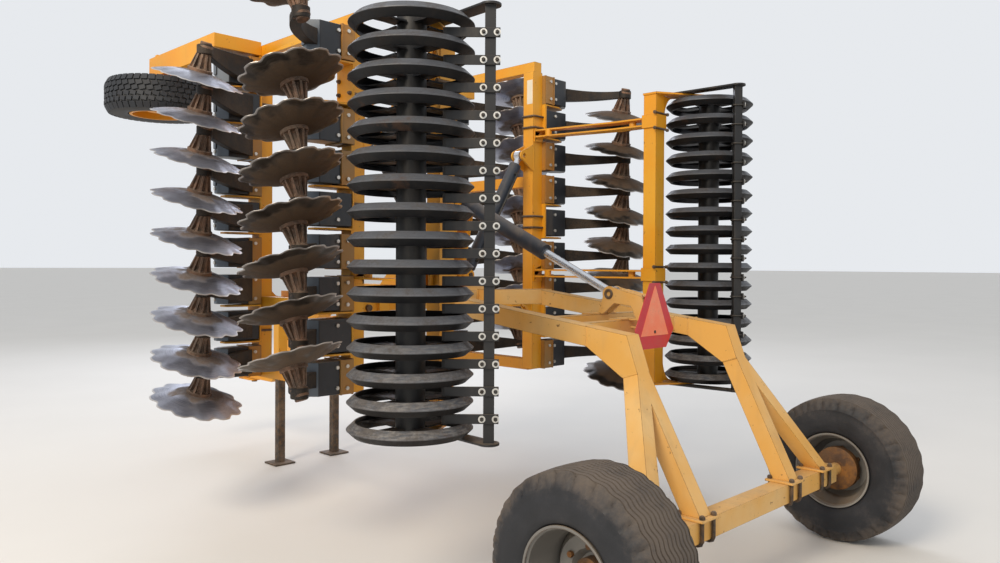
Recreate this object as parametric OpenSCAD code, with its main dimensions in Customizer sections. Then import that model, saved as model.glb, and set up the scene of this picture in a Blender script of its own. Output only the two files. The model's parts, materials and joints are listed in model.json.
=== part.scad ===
// Folding disc harrow with a transport carriage, wings folded up.
// Lengths are in millimetres. X points to the right, Y to the front and Z up from the ground.
// Y is measured from the axis of the packer rollers and shifted to the middle of the machine at the end.

/* [Wings] */
// Spacing of the discs along a wing beam
disc_pitch = 250; // [240:5:280]
// Number of disc units in one row of one wing
disc_count = 9; // [7:1:9]
// Side of the square wing beams
wing_beam = 100; // [90:5:110]
// Distance of a folded wing's beams from the middle of the machine
wing_x = 815; // [805:5:850]
// Height of the lower ends of the wing beams, folded
wing_bottom_z = 850; // [800:10:900]
// Place of the rear disc beam ahead of the roller axis
rear_beam_y = 1200; // [1180:5:1240]
// Distance from the rear disc beam to the front disc beam
row_gap = 1100; // [1000:10:1200]
// Side of the square members that join the two beams
wing_tie = 80; // [60:5:90]

/* [Wing hinges] */
// Distance of the fold hinges from the middle of the machine
hinge_x = 720; // [715:1:725]
// Height of the fold hinges
hinge_z = 1360; // [1350:2:1370]
// Diameter of the fold hinge pins
hinge_pin_d = 40; // [30:2:44]
// Thickness of the fixed hinge lugs
hinge_lug_t = 20; // [16:1:24]
// Thickness of the wing's hinge ears
hinge_ear_t = 15; // [12:1:20]

/* [Disc units] */
// Diameter of a disc
disc_d = 560; // [510:10:610]
// Thickness of a disc
disc_t = 6; // [5:0.5:8]
// Depth of the dish of a disc
disc_dish = 60; // [40:5:75]
// Number of notches round a disc
disc_notches = 12; // [8:1:14]
// Radius of a notch
notch_r = 26; // [15:1:32]
// Angle of the discs to the direction of travel
gang_angle = 18; // [14:1:22]
// Tilt of the discs from upright at work
disc_tilt = 5; // [0:1:10]
// Distance of the disc hubs from a beam's middle, towards the ground at work
hub_drop = 615; // [580:5:650]
// Distance of the disc hubs behind a beam's middle
hub_back = 400; // [380:5:430]
// Length of a hub from its arm to the disc
hub_h = 115; // [100:5:120]
// Diameter of a hub at the disc
hub_flange_d = 150; // [130:5:170]
// Diameter of a hub at the arm
hub_neck_d = 85; // [70:5:95]
// Number of ribs round a hub
hub_ribs = 8; // [6:1:10]
// Height of a unit's clamp box along the beam
box_h = 200; // [190:5:215]
// Reach of a clamp box from its seat plate
box_out = 228; // [200:4:240]
// Width of a clamp box across the beam
box_w = 156; // [140:4:170]
// Thickness of a clamp box's seat plate
seat_t = 12; // [8:1:15]

/* [Packer rollers] */
// Distance of the roller axes outside the wing beams, folded
roller_out = 515; // [500:5:530]
// Diameter of a roller ring over its ridge
ring_d = 590; // [560:5:610]
// Spacing of the rings
ring_pitch = 125; // [115:1:126]
// Number of rings on a roller
ring_count = 16; // [12:1:16]
// Height of the lowest ring, folded
ring_bottom_z = 870; // [850:5:890]
// Width of a ring's rim
ring_w = 66; // [50:2:72]
// Depth of a ring's ridge
ring_ridge = 34; // [20:2:40]
// Diameter of the roller tube
roller_tube_d = 140; // [120:5:160]
// Side of the square roller beam
roller_beam = 100; // [90:5:110]
// Distance of the roller beam outside the wing beams, folded
roller_beam_out = 150; // [140:5:165]
// Place of the roller beam ahead of the roller axis
roller_beam_y = 210; // [200:5:230]
// Height of the lower roller arm above the ends of the wing beams, folded
roller_arm_low = 720; // [700:10:740]
// Distance between the two roller arms
roller_arm_gap = 1045; // [1000:5:1080]
// Distance of the scraper bar inside the roller axis
scraper_bar_in = 195; // [185:5:205]
// Distance of the scraper bar behind the ridge of the rings
scraper_bar_back = 30; // [25:5:50]
// Side of the square scraper bar
scraper_bar_w = 50; // [44:2:56]

/* [Carriage] */
// Place of the carriage pivot ahead of the roller axis
pivot_y = 1050; // [1040:5:1060]
// Height of the carriage pivot
pivot_z = 1425; // [1415:5:1435]
// Distance of the carriage beams from the middle
carriage_x = 475; // [450:5:500]
// Side of the square carriage beams
carriage_beam = 100; // [90:5:110]
// Place of the bend of the carriage beams
bend_y = 810; // [780:5:830]
// Height of the top of the carriage beams at the bend
bend_z = 1465; // [1455:5:1475]
// Place of the knee of the carriage beams
knee_y = -650; // [-680:5:-620]
// Height of the top of the knee
knee_z = 1295; // [1280:5:1310]
// Place of the axle
axle_y = -993; // [-1020:5:-970]
// Side of the square axle tube
axle_side = 100; // [90:5:110]
// Distance of the inner legs from the middle, at the axle
inner_leg_x = 450; // [430:5:480]
// Distance of the outer legs from the middle, at the axle
outer_leg_x = 833; // [800:5:850]

/* [Wheels] */
// Diameter of the carriage tyres
tyre_d = 850; // [820:5:880]
// Width of the carriage tyres
tyre_w = 350; // [320:5:360]
// Distance of the carriage wheels from the middle
wheel_x = 1220; // [1215:5:1240]
// Diameter of the rims over their flanges
rim_d = 430; // [400:5:440]
// Diameter of the support tyres
support_tyre_d = 750; // [700:5:780]
// Width of the support tyres
support_tyre_w = 260; // [230:5:270]
// Diameter of the support rims over their flanges
support_rim_d = 410; // [380:5:420]

/* [Cylinders] */
// Diameter of the lift cylinder's barrel
lift_barrel_d = 100; // [90:2:110]
// Diameter of the lift cylinder's rod
lift_rod_d = 50; // [40:2:56]
// Diameter of the fold cylinders' barrels
fold_barrel_d = 90; // [80:2:94]
// Diameter of the fold cylinders' rods
fold_rod_d = 45; // [36:1:50]

/* [Hitch and stands] */
// Place of the hitch swivel ahead of the roller axis
swivel_y = 3900; // [3800:10:4000]
// Height of the lower link pins
link_z = 650; // [600:10:700]
// Diameter of the lower link pins
link_pin_d = 36.6; // [28:0.2:37]
// Distance between the shoulders of the lower link pins
link_width = 965; // [825:5:965]
// Distance of the parking stands from the middle
stand_x = 260; // [240:5:300]
// Place of the parking stands ahead of the roller axis
stand_y = 3000; // [2950:10:3050]

/* [Hidden] */
$fn = 48;

// Clearance of a pin in its bore, on the radius
pin_gap = 0.5;
// Clearance between pieces that move past each other
run_gap = 5;
// Gap of a piece that slides or rests on its guide
seat_gap = 0.3;

// Wing beams
beam_len = disc_count * disc_pitch - 20;
wing_top_z = wing_bottom_z + beam_len;
front_beam_y = rear_beam_y + row_gap;
beam_in = wing_x - wing_beam / 2;
beam_out = wing_x + wing_beam / 2;
top_tie = 75;
function unit_z(k) = wing_bottom_z + (k + 0.5) * disc_pitch - 10;
beam_ys = [rear_beam_y, front_beam_y];

// The disc unit that is missing in the left rear row, counted from below
missing_unit = disc_count - 2;
// Units whose clamp boxes sit in brackets that are clamped on the beams
bracket_units = [for (k = [disc_count - 2 : -3 : 0]) k];
// Heights of the roller arms
roller_arm_zs = [wing_bottom_z + roller_arm_low, wing_bottom_z + roller_arm_low + roller_arm_gap];

// Fold cylinders, in the plane of the rear beams
fold_base_x = 130;
fold_base_z = 1560;
fold_lug_x = beam_in - 94;
fold_lug_z = hinge_z + 1082;
fold_len = norm([fold_lug_x - fold_base_x, fold_lug_z - fold_base_z]);
fold_angle = atan2(fold_lug_z - fold_base_z, fold_lug_x - fold_base_x);
fold_open_x = hinge_x + fold_lug_z - hinge_z;
fold_open_z = hinge_z + hinge_x - fold_lug_x;
fold_open_len = norm([fold_open_x - fold_base_x, fold_open_z - fold_base_z]);
fold_gland = fold_len - 90;
fold_rod_in = fold_open_len - fold_gland + 100;
fold_pin_d = 32;

// Lift cylinder, in the middle plane
lift_base_y = 1100;
lift_base_z = 2060;
lift_eye_y = -174;
lift_eye_z = 1470;
lift_len = norm([lift_base_y - lift_eye_y, lift_base_z - lift_eye_z]);
lift_angle = atan2(lift_base_z - lift_eye_z, lift_base_y - lift_eye_y);
lift_gland = 832;
lift_rod_in = lift_len - lift_gland + 120;
lift_stroke_room = 492;
lift_pin_d = 40;

// Rollers
roller_shaft_d = 60;
roller_z0 = ring_bottom_z - 30;
roller_z1 = ring_bottom_z + (ring_count - 1) * ring_pitch + 45;
end_plate_t = 12;

// Carriage
beam_slope = (bend_z - knee_z) / (bend_y - knee_y);
function carriage_top(y) = knee_z + (y - knee_y) * beam_slope;
axle_z = tyre_d / 2;
axle_top = axle_z + axle_side / 2;
clamp_t = 12;
clamp_y = 62;
tie_ys = [-75, -270];

// Support wheels
support_x = 1150;
support_y = 3250;
support_arm_h = 150;
support_arm_z = wing_top_z + 100;
support_wheel_z = support_arm_z - support_arm_h - 30 - support_tyre_w / 2;

// Rollers and scrapers, placed from the wing
roller_x = wing_x + roller_out;
roller_beam_x = wing_x + roller_beam_out;
scraper_bar_x = roller_x - scraper_bar_in;
scraper_y = -ring_d / 2 - scraper_bar_back;

// Overall length, for the shift to the middle
rear_end_y = axle_y - tyre_d / 2;
front_end_y = swivel_y + 180;
y_mid = (front_end_y + rear_end_y) / 2;

// Moves a piece from the roller's frame to the middle of the machine
module place() {
    translate([0, -y_mid, 0]) children();
}

// Keeps a piece on the right or mirrors it to the left
module side(s) {
    if (s > 0) place() children();
    else mirror([1, 0, 0]) place() children();
}

// A box given by its lowest and highest corners
module block(a, b) {
    translate(a) cube(b - a);
}

// Round bar along X between two places
module bar_x(x0, x1, y, z, d) {
    translate([x0, y, z]) rotate([0, 90, 0]) cylinder(d = d, h = x1 - x0);
}

// Round bar along Y between two places
module bar_y(y0, y1, x, z, d) {
    translate([x, y0, z]) rotate([-90, 0, 0]) cylinder(d = d, h = y1 - y0);
}

// Plate of thickness t across Y, its outline drawn in X and Z
module plate_y(y, t) {
    translate([0, y + t / 2, 0]) rotate([90, 0, 0]) linear_extrude(t) children();
}

// Plate of thickness t across X, its outline drawn in Y and Z
module plate_x(x, t) {
    translate([x - t / 2, 0, 0]) rotate([90, 0, 90]) linear_extrude(t) children();
}

// CENTRE FRAME
rail_in = 560;
rail_out = 640;
rail_z0 = hinge_z - 35;
rail_z1 = hinge_z + 75;
cross_w = 100;
rear_cross_y = rear_beam_y + 130;
front_cross_y = front_beam_y - 130;
spine_w = 120;
spine_z1 = rail_z1 + 45;
pivot_plate_x = 175;
pivot_plate_t = 20;
pivot_head_x = 150;
pivot_r = 60;
pivot_pin_d = 60;
hinge_r = 35;

module centre_frame() {
    color("goldenrod") {
        for (s = [-1, 1]) mirror([s < 0 ? 1 : 0, 0, 0]) {
            block([rail_in, rear_beam_y - 40, rail_z0], [rail_out, front_beam_y + 40, rail_z1]);
            for (y = beam_ys) plate_y(y, hinge_lug_t) difference() {
                union() {
                    translate([hinge_x, hinge_z]) circle(hinge_r);
                    translate([rail_out - 20, hinge_z - hinge_r])
                        square([hinge_x - rail_out + 20, 2 * hinge_r]);
                }
                translate([hinge_x, hinge_z]) circle(hinge_pin_d / 2);
            }
            plate_x(pivot_plate_x, pivot_plate_t) difference() {
                union() {
                    translate([pivot_y, pivot_z]) circle(pivot_r);
                    translate([pivot_y, pivot_z - pivot_r])
                        square([rear_cross_y + cross_w / 2 - pivot_y, 2 * pivot_r]);
                }
                translate([pivot_y, pivot_z]) circle(pivot_pin_d / 2);
            }
        }
        for (y = [rear_cross_y, front_cross_y])
            block([-rail_in, y - cross_w / 2, rail_z0 + 5], [rail_in, y + cross_w / 2, rail_z1 - 5]);
        block([-spine_w / 2, rear_cross_y, rail_z0 + 5], [spine_w / 2, front_cross_y, spine_z1]);
    }
}

// TOWER
tower_t = 15;
tower_x = lift_barrel_d / 2 + run_gap + tower_t / 2;
fold_lug_gap = 75;
tower_r = 60;

module tower() {
    color("goldenrod") {
        for (s = [-1, 1]) mirror([s < 0 ? 1 : 0, 0, 0]) {
            plate_x(tower_x, tower_t) difference() {
                union() {
                    translate([lift_base_y, lift_base_z]) circle(tower_r);
                    polygon([
                        [rear_cross_y - cross_w / 2, spine_z1], [front_cross_y - 250, spine_z1],
                        [lift_base_y + 150, lift_base_z + 60], [lift_base_y, lift_base_z + tower_r],
                        [lift_base_y - tower_r, lift_base_z], [rear_beam_y - 50, fold_base_z]
                    ]);
                }
                translate([lift_base_y, lift_base_z]) circle(lift_pin_d / 2);
            }
            for (y = [-1, 1]) plate_y(rear_beam_y + y * (fold_lug_gap + tower_t) / 2, tower_t) difference() {
                union() {
                    translate([fold_base_x, fold_base_z]) circle(35);
                    translate([tower_x + tower_t / 2, fold_base_z - 35])
                        square([fold_base_x - tower_x - tower_t / 2, 70]);
                }
                translate([fold_base_x, fold_base_z]) circle(fold_pin_d / 2);
            }
        }
        for (q = [[1290, 1620], [1420, 1620]])
            bar_x(-tower_x, tower_x, q[0], q[1], 50);
    }
}

// DRAWBAR
drawbar_knee_y = 2600;
drawbar_nose_y = 3500;
stand_w = 60;
sleeve_in = stand_w / 2 + seat_gap;
sleeve_z0 = 880;
sleeve_z1 = 1180;
swivel_pin_r = 25;
swivel_h = 120;

module drawbar() {
    color("goldenrod") {
        difference() {
            union() {
                plate_x(0, spine_w) polygon([
                    [front_cross_y + cross_w / 2, rail_z0 + 5], [drawbar_knee_y, rail_z0 + 5],
                    [drawbar_nose_y, link_z - swivel_h / 2], [swivel_y, link_z - swivel_h / 2],
                    [swivel_y, link_z + swivel_h / 2], [drawbar_nose_y + 60, link_z + swivel_h / 2],
                    [drawbar_knee_y + 120, spine_z1], [front_cross_y + cross_w / 2, spine_z1]
                ]);
                translate([0, swivel_y, link_z - swivel_h / 2]) cylinder(r = spine_w / 2, h = swivel_h);
            }
            translate([0, swivel_y, link_z - swivel_h]) cylinder(r = swivel_pin_r + pin_gap, h = 2 * swivel_h);
        }
        block([-stand_x + 40, stand_y - 40, sleeve_z0 + 130], [stand_x - 40, stand_y + 40, sleeve_z1 - 90]);
        for (s = [-1, 1]) difference() {
            block([s * stand_x - 40, stand_y - 40, sleeve_z0], [s * stand_x + 40, stand_y + 40, sleeve_z1]);
            block([s * stand_x - sleeve_in, stand_y - sleeve_in, sleeve_z0 - 1],
                [s * stand_x + sleeve_in, stand_y + sleeve_in, sleeve_z1 + 1]);
        }
    }
}

// PINS
module hinge_pins() {
    color("dimgray") {
        for (s = [-1, 1]) mirror([s < 0 ? 1 : 0, 0, 0]) {
            for (y = beam_ys) bar_y(y - 50, y + 50, hinge_x, hinge_z, hinge_pin_d);
            bar_y(rear_beam_y - 60, rear_beam_y + 60, fold_base_x, fold_base_z, fold_pin_d);
        }
        bar_x(-pivot_plate_x - 20, pivot_plate_x + 20, pivot_y, pivot_z, pivot_pin_d);
        bar_x(-tower_x - 20, tower_x + 20, lift_base_y, lift_base_z, lift_pin_d);
    }
}

// HITCH
bar_off = 130;
yoke_t = 20;

module hitch_crossbar() {
    color("goldenrod") {
        block([-link_width / 2, swivel_y + bar_off - 50, link_z - 50],
            [link_width / 2, swivel_y + bar_off + 50, link_z + 50]);
        for (z = [link_z - swivel_h / 2 - run_gap - yoke_t, link_z + swivel_h / 2 + run_gap]) difference() {
            union() {
                translate([0, swivel_y, z]) cylinder(r = spine_w / 2, h = yoke_t);
                block([-spine_w / 2, swivel_y, z], [spine_w / 2, swivel_y + bar_off + 50, z + yoke_t]);
            }
            translate([0, swivel_y, z - 1]) cylinder(r = swivel_pin_r, h = yoke_t + 2);
        }
        for (z = [link_z - swivel_h / 2 - run_gap, link_z + 50])
            block([-spine_w / 2, swivel_y + bar_off - 50, z],
                [spine_w / 2, swivel_y + bar_off + 50, z + swivel_h / 2 - 50 + run_gap]);
    }
}

module hitch_pins() {
    color("dimgray") {
        translate([0, swivel_y, link_z - 100]) cylinder(r = swivel_pin_r, h = 200);
        for (s = [-1, 1]) mirror([s < 0 ? 1 : 0, 0, 0])
            bar_x(link_width / 2, link_width / 2 + 90, swivel_y + bar_off, link_z, link_pin_d);
    }
}

// PARKING STANDS
stand_foot_t = 12;
stand_top_z = 1100;

module stand(s) {
    color("dimgray") side(s) {
        block([stand_x - stand_w / 2, stand_y - stand_w / 2, stand_foot_t],
            [stand_x + stand_w / 2, stand_y + stand_w / 2, stand_top_z]);
        block([stand_x - 90, stand_y - 90, 0], [stand_x + 90, stand_y + 90, stand_foot_t]);
    }
}

// CARRIAGE
knee_h = 190;

module carriage_frame() {
    color("goldenrod") difference() {
        union() {
            bar_x(-pivot_head_x, pivot_head_x, pivot_y, pivot_z, 2 * pivot_r);
            for (s = [-1, 1]) mirror([s < 0 ? 1 : 0, 0, 0]) {
                translate([0, 0, bend_z - carriage_beam]) linear_extrude(carriage_beam) polygon([
                    [60, pivot_y], [pivot_head_x - 10, pivot_y], [pivot_head_x - 10, pivot_y - pivot_r - 10],
                    [carriage_x + 50, bend_y + 40], [carriage_x + 50, bend_y - 60],
                    [carriage_x - 50, bend_y - 60], [60, pivot_y - pivot_r - 100]
                ]);
                plate_x(carriage_x, carriage_beam) polygon([
                    [bend_y, bend_z], [knee_y, knee_z], [knee_y - 8, knee_z - knee_h],
                    [knee_y + 130, knee_z - knee_h],
                    [knee_y + 250, carriage_top(knee_y + 250) - carriage_beam],
                    [bend_y, bend_z - carriage_beam]
                ]);
                for (x = [inner_leg_x, outer_leg_x]) hull() {
                    block([carriage_x - 45, knee_y - 5, knee_z - knee_h - 5],
                        [carriage_x + 45, knee_y + 125, knee_z - knee_h + 5]);
                    block([x - 35, axle_y - 50, axle_top + clamp_t],
                        [x + 35, axle_y + 50, axle_top + clamp_t + 2]);
                }
            }
            for (y = tie_ys)
                block([-carriage_x, y - 40, carriage_top(y) - 90],
                    [carriage_x, y + 40, carriage_top(y) - 10]);
        }
        bar_x(-pivot_head_x - 1, pivot_head_x + 1, pivot_y, pivot_z, pivot_pin_d + 2 * pin_gap);
    }
}

// Lift bracket, seated on both cross ties
function tie_top(i) = carriage_top(tie_ys[i]) - 10;
lift_lug_x = 34;
lift_lug_t = 12;
lift_lug_r = 45;
// Room that the rod's eye needs when it leaves its pin by the error of the constant ratio
lift_cover_gap = 34;
bracket_foot_x = 110;
bracket_foot_t = 8;
sign_y = -456;

module lift_bracket() {
    color("goldenrod") {
        for (s = [-1, 1]) plate_x(s * lift_lug_x, lift_lug_t) difference() {
            union() {
                translate([lift_eye_y, lift_eye_z]) circle(lift_lug_r);
                polygon([
                    [tie_ys[0] + 40, tie_top(0)], [lift_eye_y + lift_lug_r, lift_eye_z],
                    [lift_eye_y, lift_eye_z + lift_lug_r], [sign_y + 60, lift_eye_z - 5],
                    [sign_y + 40, lift_eye_z - 60], [tie_ys[1] - 40, tie_top(1)],
                    [tie_ys[1] + 40, tie_top(1)], [tie_ys[0] - 40, tie_top(0)]
                ]);
            }
            translate([lift_eye_y, lift_eye_z]) circle(lift_pin_d / 2 + pin_gap);
            polygon([
                [tie_ys[0] - 20, tie_top(0) + 20], [lift_eye_y + 12, lift_eye_z - 60],
                [lift_eye_y - 60, lift_eye_z - 60], [tie_ys[1] + 10, tie_top(1) + 30]
            ]);
        }
        for (i = [0, 1]) block([-bracket_foot_x, tie_ys[i] - 40, tie_top(i)],
            [bracket_foot_x, tie_ys[i] + 40, tie_top(i) + bracket_foot_t]);
        hull() for (q = [[sign_y + 62, lift_eye_z - 13], [lift_eye_y - lift_lug_r - lift_cover_gap, lift_eye_z + 18]])
            block([-lift_lug_x, q[0], q[1]], [lift_lug_x, q[0] + 8, q[1] + 8]);
    }
}

sign_z = 1346;

module warning_sign() {
    color("orangered") {
        plate_y(sign_y, 4) polygon([
            [-185, sign_z - 135], [-165, sign_z - 165], [165, sign_z - 165], [185, sign_z - 135],
            [20, sign_z + 175], [-20, sign_z + 175]
        ]);
        block([-20, sign_y + 2, sign_z - 60], [20, tie_ys[1] - 40, sign_z - 50]);
    }
}

module axle_beam() {
    color("goldenrod") {
        block([-wheel_x + 210, axle_y - axle_side / 2, axle_z - axle_side / 2],
            [wheel_x - 210, axle_y + axle_side / 2, axle_top]);
        for (s = [-1, 1]) mirror([s < 0 ? 1 : 0, 0, 0])
            bar_x(wheel_x - 210, wheel_x + 30, axle_y, axle_z, 70);
    }
}

module axle_clamps() {
    color("dimgray") for (s = [-1, 1]) for (x = [inner_leg_x, outer_leg_x]) {
        block([s * x - 75, axle_y - 80, axle_top], [s * x + 75, axle_y + 80, axle_top + clamp_t]);
        for (u = [-50, 50]) {
            for (v = [-1, 1]) translate([s * x + u, axle_y + v * clamp_y, axle_z - axle_side / 2 - 12])
                cylinder(d = 16, h = axle_side + 12);
            block([s * x + u - 8, axle_y - clamp_y - 8, axle_z - axle_side / 2 - 20],
                [s * x + u + 8, axle_y + clamp_y + 8, axle_z - axle_side / 2 - 4]);
        }
    }
}

// WHEELS
// Outline of a tyre's half section in radius and width
module tyre_2d(d, w, bead) {
    polygon([
        [bead / 2, -w / 2 + 40], [bead / 2 + 12, -w / 2 + 12], [bead / 2 + 60, -w / 2],
        [d / 2 - 70, -w / 2], [d / 2 - 25, -w / 2 + 22], [d / 2 - 6, -w / 2 + 45], [d / 2, -w / 2 + 80],
        [d / 2, w / 2 - 80], [d / 2 - 6, w / 2 - 45], [d / 2 - 25, w / 2 - 22], [d / 2 - 70, w / 2],
        [bead / 2 + 60, w / 2], [bead / 2 + 12, w / 2 - 12], [bead / 2, w / 2 - 40]
    ]);
}

// Outline of a rim and its disc, the disc at d_at along the width
module rim_2d(d, w, d_at, bore) {
    polygon([
        [d / 2 - 22, -w / 2 + 10], [d / 2, -w / 2 + 10], [d / 2, w / 2 - 10], [d / 2 - 22, w / 2 - 10],
        [d / 2 - 22, d_at + 8], [85, d_at + 8], [70, d_at + 50], [bore, d_at + 50],
        [bore, d_at - 90], [85, d_at - 90], [85, d_at - 8], [d / 2 - 22, d_at - 8]
    ]);
}

module wheel_at(x, y, z) {
    translate([x, y, z]) rotate([0, 90, 0]) rotate_extrude() children();
}

module tyre(s) {
    color("dimgray") side(s) wheel_at(wheel_x, axle_y, axle_z) tyre_2d(tyre_d, tyre_w, rim_d);
}

module rim(s) {
    color("silver") side(s) wheel_at(wheel_x, axle_y, axle_z) rim_2d(rim_d, tyre_w, -20, 35 + pin_gap);
}

module support_tyre(s) {
    color("dimgray") side(s) translate([support_x, support_y, support_wheel_z]) rotate_extrude()
        tyre_2d(support_tyre_d, support_tyre_w, support_rim_d);
}

module support_rim(s) {
    color("goldenrod") side(s) translate([support_x, support_y, support_wheel_z]) rotate_extrude()
        rim_2d(support_rim_d, support_tyre_w, 0, 30 + pin_gap);
}

// CYLINDERS
// Barrel along X from its eye at the origin
module barrel(d, rod_d, eye_r, eye_w, gland, bore_from, pin_r) {
    difference() {
        union() {
            translate([0, eye_w / 2, 0]) rotate([90, 0, 0]) cylinder(r = eye_r, h = eye_w);
            block([0, -eye_w / 2, -eye_r * 0.7], [70, eye_w / 2, eye_r * 0.7]);
            translate([60, 0, 0]) rotate([0, 90, 0]) cylinder(d = d, h = gland - 60);
        }
        translate([0, eye_w, 0]) rotate([90, 0, 0]) cylinder(r = pin_r + pin_gap, h = 2 * eye_w);
        translate([bore_from, 0, 0]) rotate([0, 90, 0]) cylinder(d = rod_d + 2 * seat_gap, h = gland);
    }
}

// Rod along X, its eye at length len
module rod(d, eye_r, eye_w, len, inside, pin_r, pin_w) {
    translate([len - inside, 0, 0]) rotate([0, 90, 0]) cylinder(d = d, h = inside - eye_r + 5);
    translate([len, eye_w / 2, 0]) rotate([90, 0, 0]) cylinder(r = eye_r, h = eye_w);
    translate([len, pin_w / 2, 0]) rotate([90, 0, 0]) cylinder(r = pin_r, h = pin_w);
}

module fold_at() {
    translate([fold_base_x, rear_beam_y, fold_base_z]) rotate([0, -fold_angle, 0]) children();
}

module lift_at() {
    translate([0, lift_base_y, lift_base_z]) rotate([lift_angle, 0, 0]) rotate([0, 0, -90]) children();
}

module fold_barrel(s) {
    color("slategray") side(s) fold_at()
        barrel(fold_barrel_d, fold_rod_d, 35, 60, fold_gland, fold_len - fold_rod_in - 15, fold_pin_d / 2);
}

module fold_rod(s) {
    color("silver") side(s) fold_at() rod(fold_rod_d, 38, 50, fold_len, fold_rod_in, fold_pin_d / 2,
        fold_lug_gap - 2 * seat_gap);
}

module lift_barrel() {
    color("slategray") lift_at()
        barrel(lift_barrel_d, lift_rod_d, 38, 80, lift_gland, lift_len - lift_rod_in - lift_stroke_room,
            lift_pin_d / 2);
}

module lift_rod() {
    color("silver") lift_at() rod(lift_rod_d, 42, 46, lift_len, lift_rod_in, lift_pin_d / 2,
        2 * lift_lug_x - lift_lug_t - 2 * seat_gap);
}

// WINGS
ear_r = 42;

module wing_frame(s) {
    color("goldenrod") side(s) {
        for (y = beam_ys) {
            block([beam_in, y - wing_beam / 2, wing_bottom_z], [beam_out, y + wing_beam / 2, wing_top_z]);
            for (v = [-1, 1]) plate_y(y + v * (hinge_lug_t / 2 + run_gap + hinge_ear_t / 2), hinge_ear_t)
                difference() {
                    union() {
                        translate([hinge_x, hinge_z]) circle(ear_r);
                        polygon([[hinge_x, hinge_z - ear_r], [beam_in + 5, hinge_z - 90],
                            [beam_in + 5, hinge_z + 90], [hinge_x, hinge_z + ear_r]]);
                    }
                    translate([hinge_x, hinge_z]) circle(hinge_pin_d / 2 + pin_gap);
                }
        }
        block([wing_x - top_tie / 2, rear_beam_y - wing_beam / 2, wing_top_z],
            [wing_x + top_tie / 2, front_beam_y + wing_beam / 2, wing_top_z + top_tie]);
        for (z = [wing_bottom_z + 30, hinge_z, hinge_z + 900])
            block([wing_x - wing_tie / 2, rear_beam_y, z - wing_tie / 2],
                [wing_x + wing_tie / 2, front_beam_y, z + wing_tie / 2]);
        for (v = [-1, 1]) plate_y(rear_beam_y + v * (fold_lug_gap + tower_t) / 2, tower_t) difference() {
            union() {
                translate([fold_lug_x, fold_lug_z]) circle(38);
                polygon([[fold_lug_x - 20, fold_lug_z - 32], [beam_in + 5, fold_lug_z - 110],
                    [beam_in + 5, fold_lug_z + 90], [fold_lug_x - 15, fold_lug_z + 35]]);
            }
            translate([fold_lug_x, fold_lug_z]) circle(fold_pin_d / 2 + pin_gap);
        }
    }
}

// Clamp box of a disc unit on a beam's outer face; its seat is a plate with two cheeks, or a bracket
cheek_t = 8;
cheek_out = 85;

module clamp_box(y, z, own_seat) {
    if (own_seat) {
        block([beam_out, y - box_w / 2 - 5, z - box_h / 2 - 8],
            [beam_out + seat_t, y + box_w / 2 + 5, z + box_h / 2 + 8]);
        for (v = [-1, 1]) translate([0, y + v * (box_w + cheek_t) / 2, 0])
            block([beam_out, -cheek_t / 2, z - box_h / 2 - 4], [beam_out + cheek_out, cheek_t / 2, z + box_h / 2 + 4]);
    }
    translate([0, 0, z - box_h / 2]) linear_extrude(box_h) translate([beam_out + seat_t, y]) polygon([
        [0, -box_w / 2], [box_out - 40, -box_w / 2], [box_out, -box_w / 2 + 40],
        [box_out, box_w / 2 - 40], [box_out - 40, box_w / 2], [0, box_w / 2]
    ]);
}

module clamp_boxes(s) {
    color("darkslategray") side(s) for (row = [0, 1]) for (k = [0 : disc_count - 1]) if (has_unit(s, row, k))
        clamp_box(beam_ys[1 - row], unit_z(k), len(search(k, bracket_units)) == 0);
}

// Brackets of some units: a web against the beam, and two plates that narrow towards their tips
unit_bracket_t = 12;
unit_bracket_w = 85;
unit_bracket_tip = 35;
unit_bracket_out = beam_out + seat_t + box_out + 5;

module unit_bracket_2d() {
    w = unit_bracket_w;
    tip = unit_bracket_tip;
    polygon([
        [beam_out, -w], [unit_bracket_out - 80, -w + 10], [unit_bracket_out, -tip],
        [unit_bracket_out, tip], [unit_bracket_out - 80, w - 10], [beam_out, w]
    ]);
}

module unit_brackets(s) {
    h = disc_pitch / 2;
    color("goldenrod") side(s) for (y = beam_ys) for (k = bracket_units) translate([0, y, unit_z(k)]) {
        for (v = [-1, 1]) translate([0, 0, v * h - unit_bracket_t / 2]) linear_extrude(unit_bracket_t)
            unit_bracket_2d();
        block([beam_out, -unit_bracket_w, -h], [beam_out + seat_t, unit_bracket_w, h]);
    }
}

// Arm from a clamp box to a hub, a curve that narrows
box_face = beam_out + seat_t + box_out;
hub_x = wing_x + hub_drop;
arm_root_h = 76;
arm_tip_h = 42;
arm_steps = 8;
function arm_mid(t) = let (a = [box_face, 0], b = [hub_x - 20, 40], c = [hub_x, -hub_back])
    (1 - t) * (1 - t) * a + 2 * t * (1 - t) * b + t * t * c;
function arm_dir(t) = let (d = arm_mid(t + 0.01) - arm_mid(t - 0.01)) d / norm(d);
function arm_edge(t, s) = arm_mid(t) + s * (45 - 18 * t) * [-arm_dir(t)[1], arm_dir(t)[0]];

module arm_2d() {
    polygon(concat(
        [[box_face, 45], for (i = [1 : arm_steps]) arm_edge(i / arm_steps, 1)],
        [for (i = [arm_steps : -1 : 1]) arm_edge(i / arm_steps, -1), [box_face, -45]]
    ));
}

// Puts a hub or a disc at the end of an arm, its axis along Z, dir being 1 for a dish that opens upward
module on_hub(y, z, dir) {
    translate([hub_x, y - hub_back, z]) rotate([-dir * gang_angle, 0, 0]) rotate([0, dir * disc_tilt, 0])
        mirror([0, 0, dir < 0 ? 1 : 0]) children();
}

hub_from = 25;
disc_at = hub_from + hub_h;

hub_rib_t = 12;
hub_rib_in = 22;
// How far the ribs run into the collar and the flange
hub_rib_sink = 6;
hub_flange_t = 14;

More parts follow.
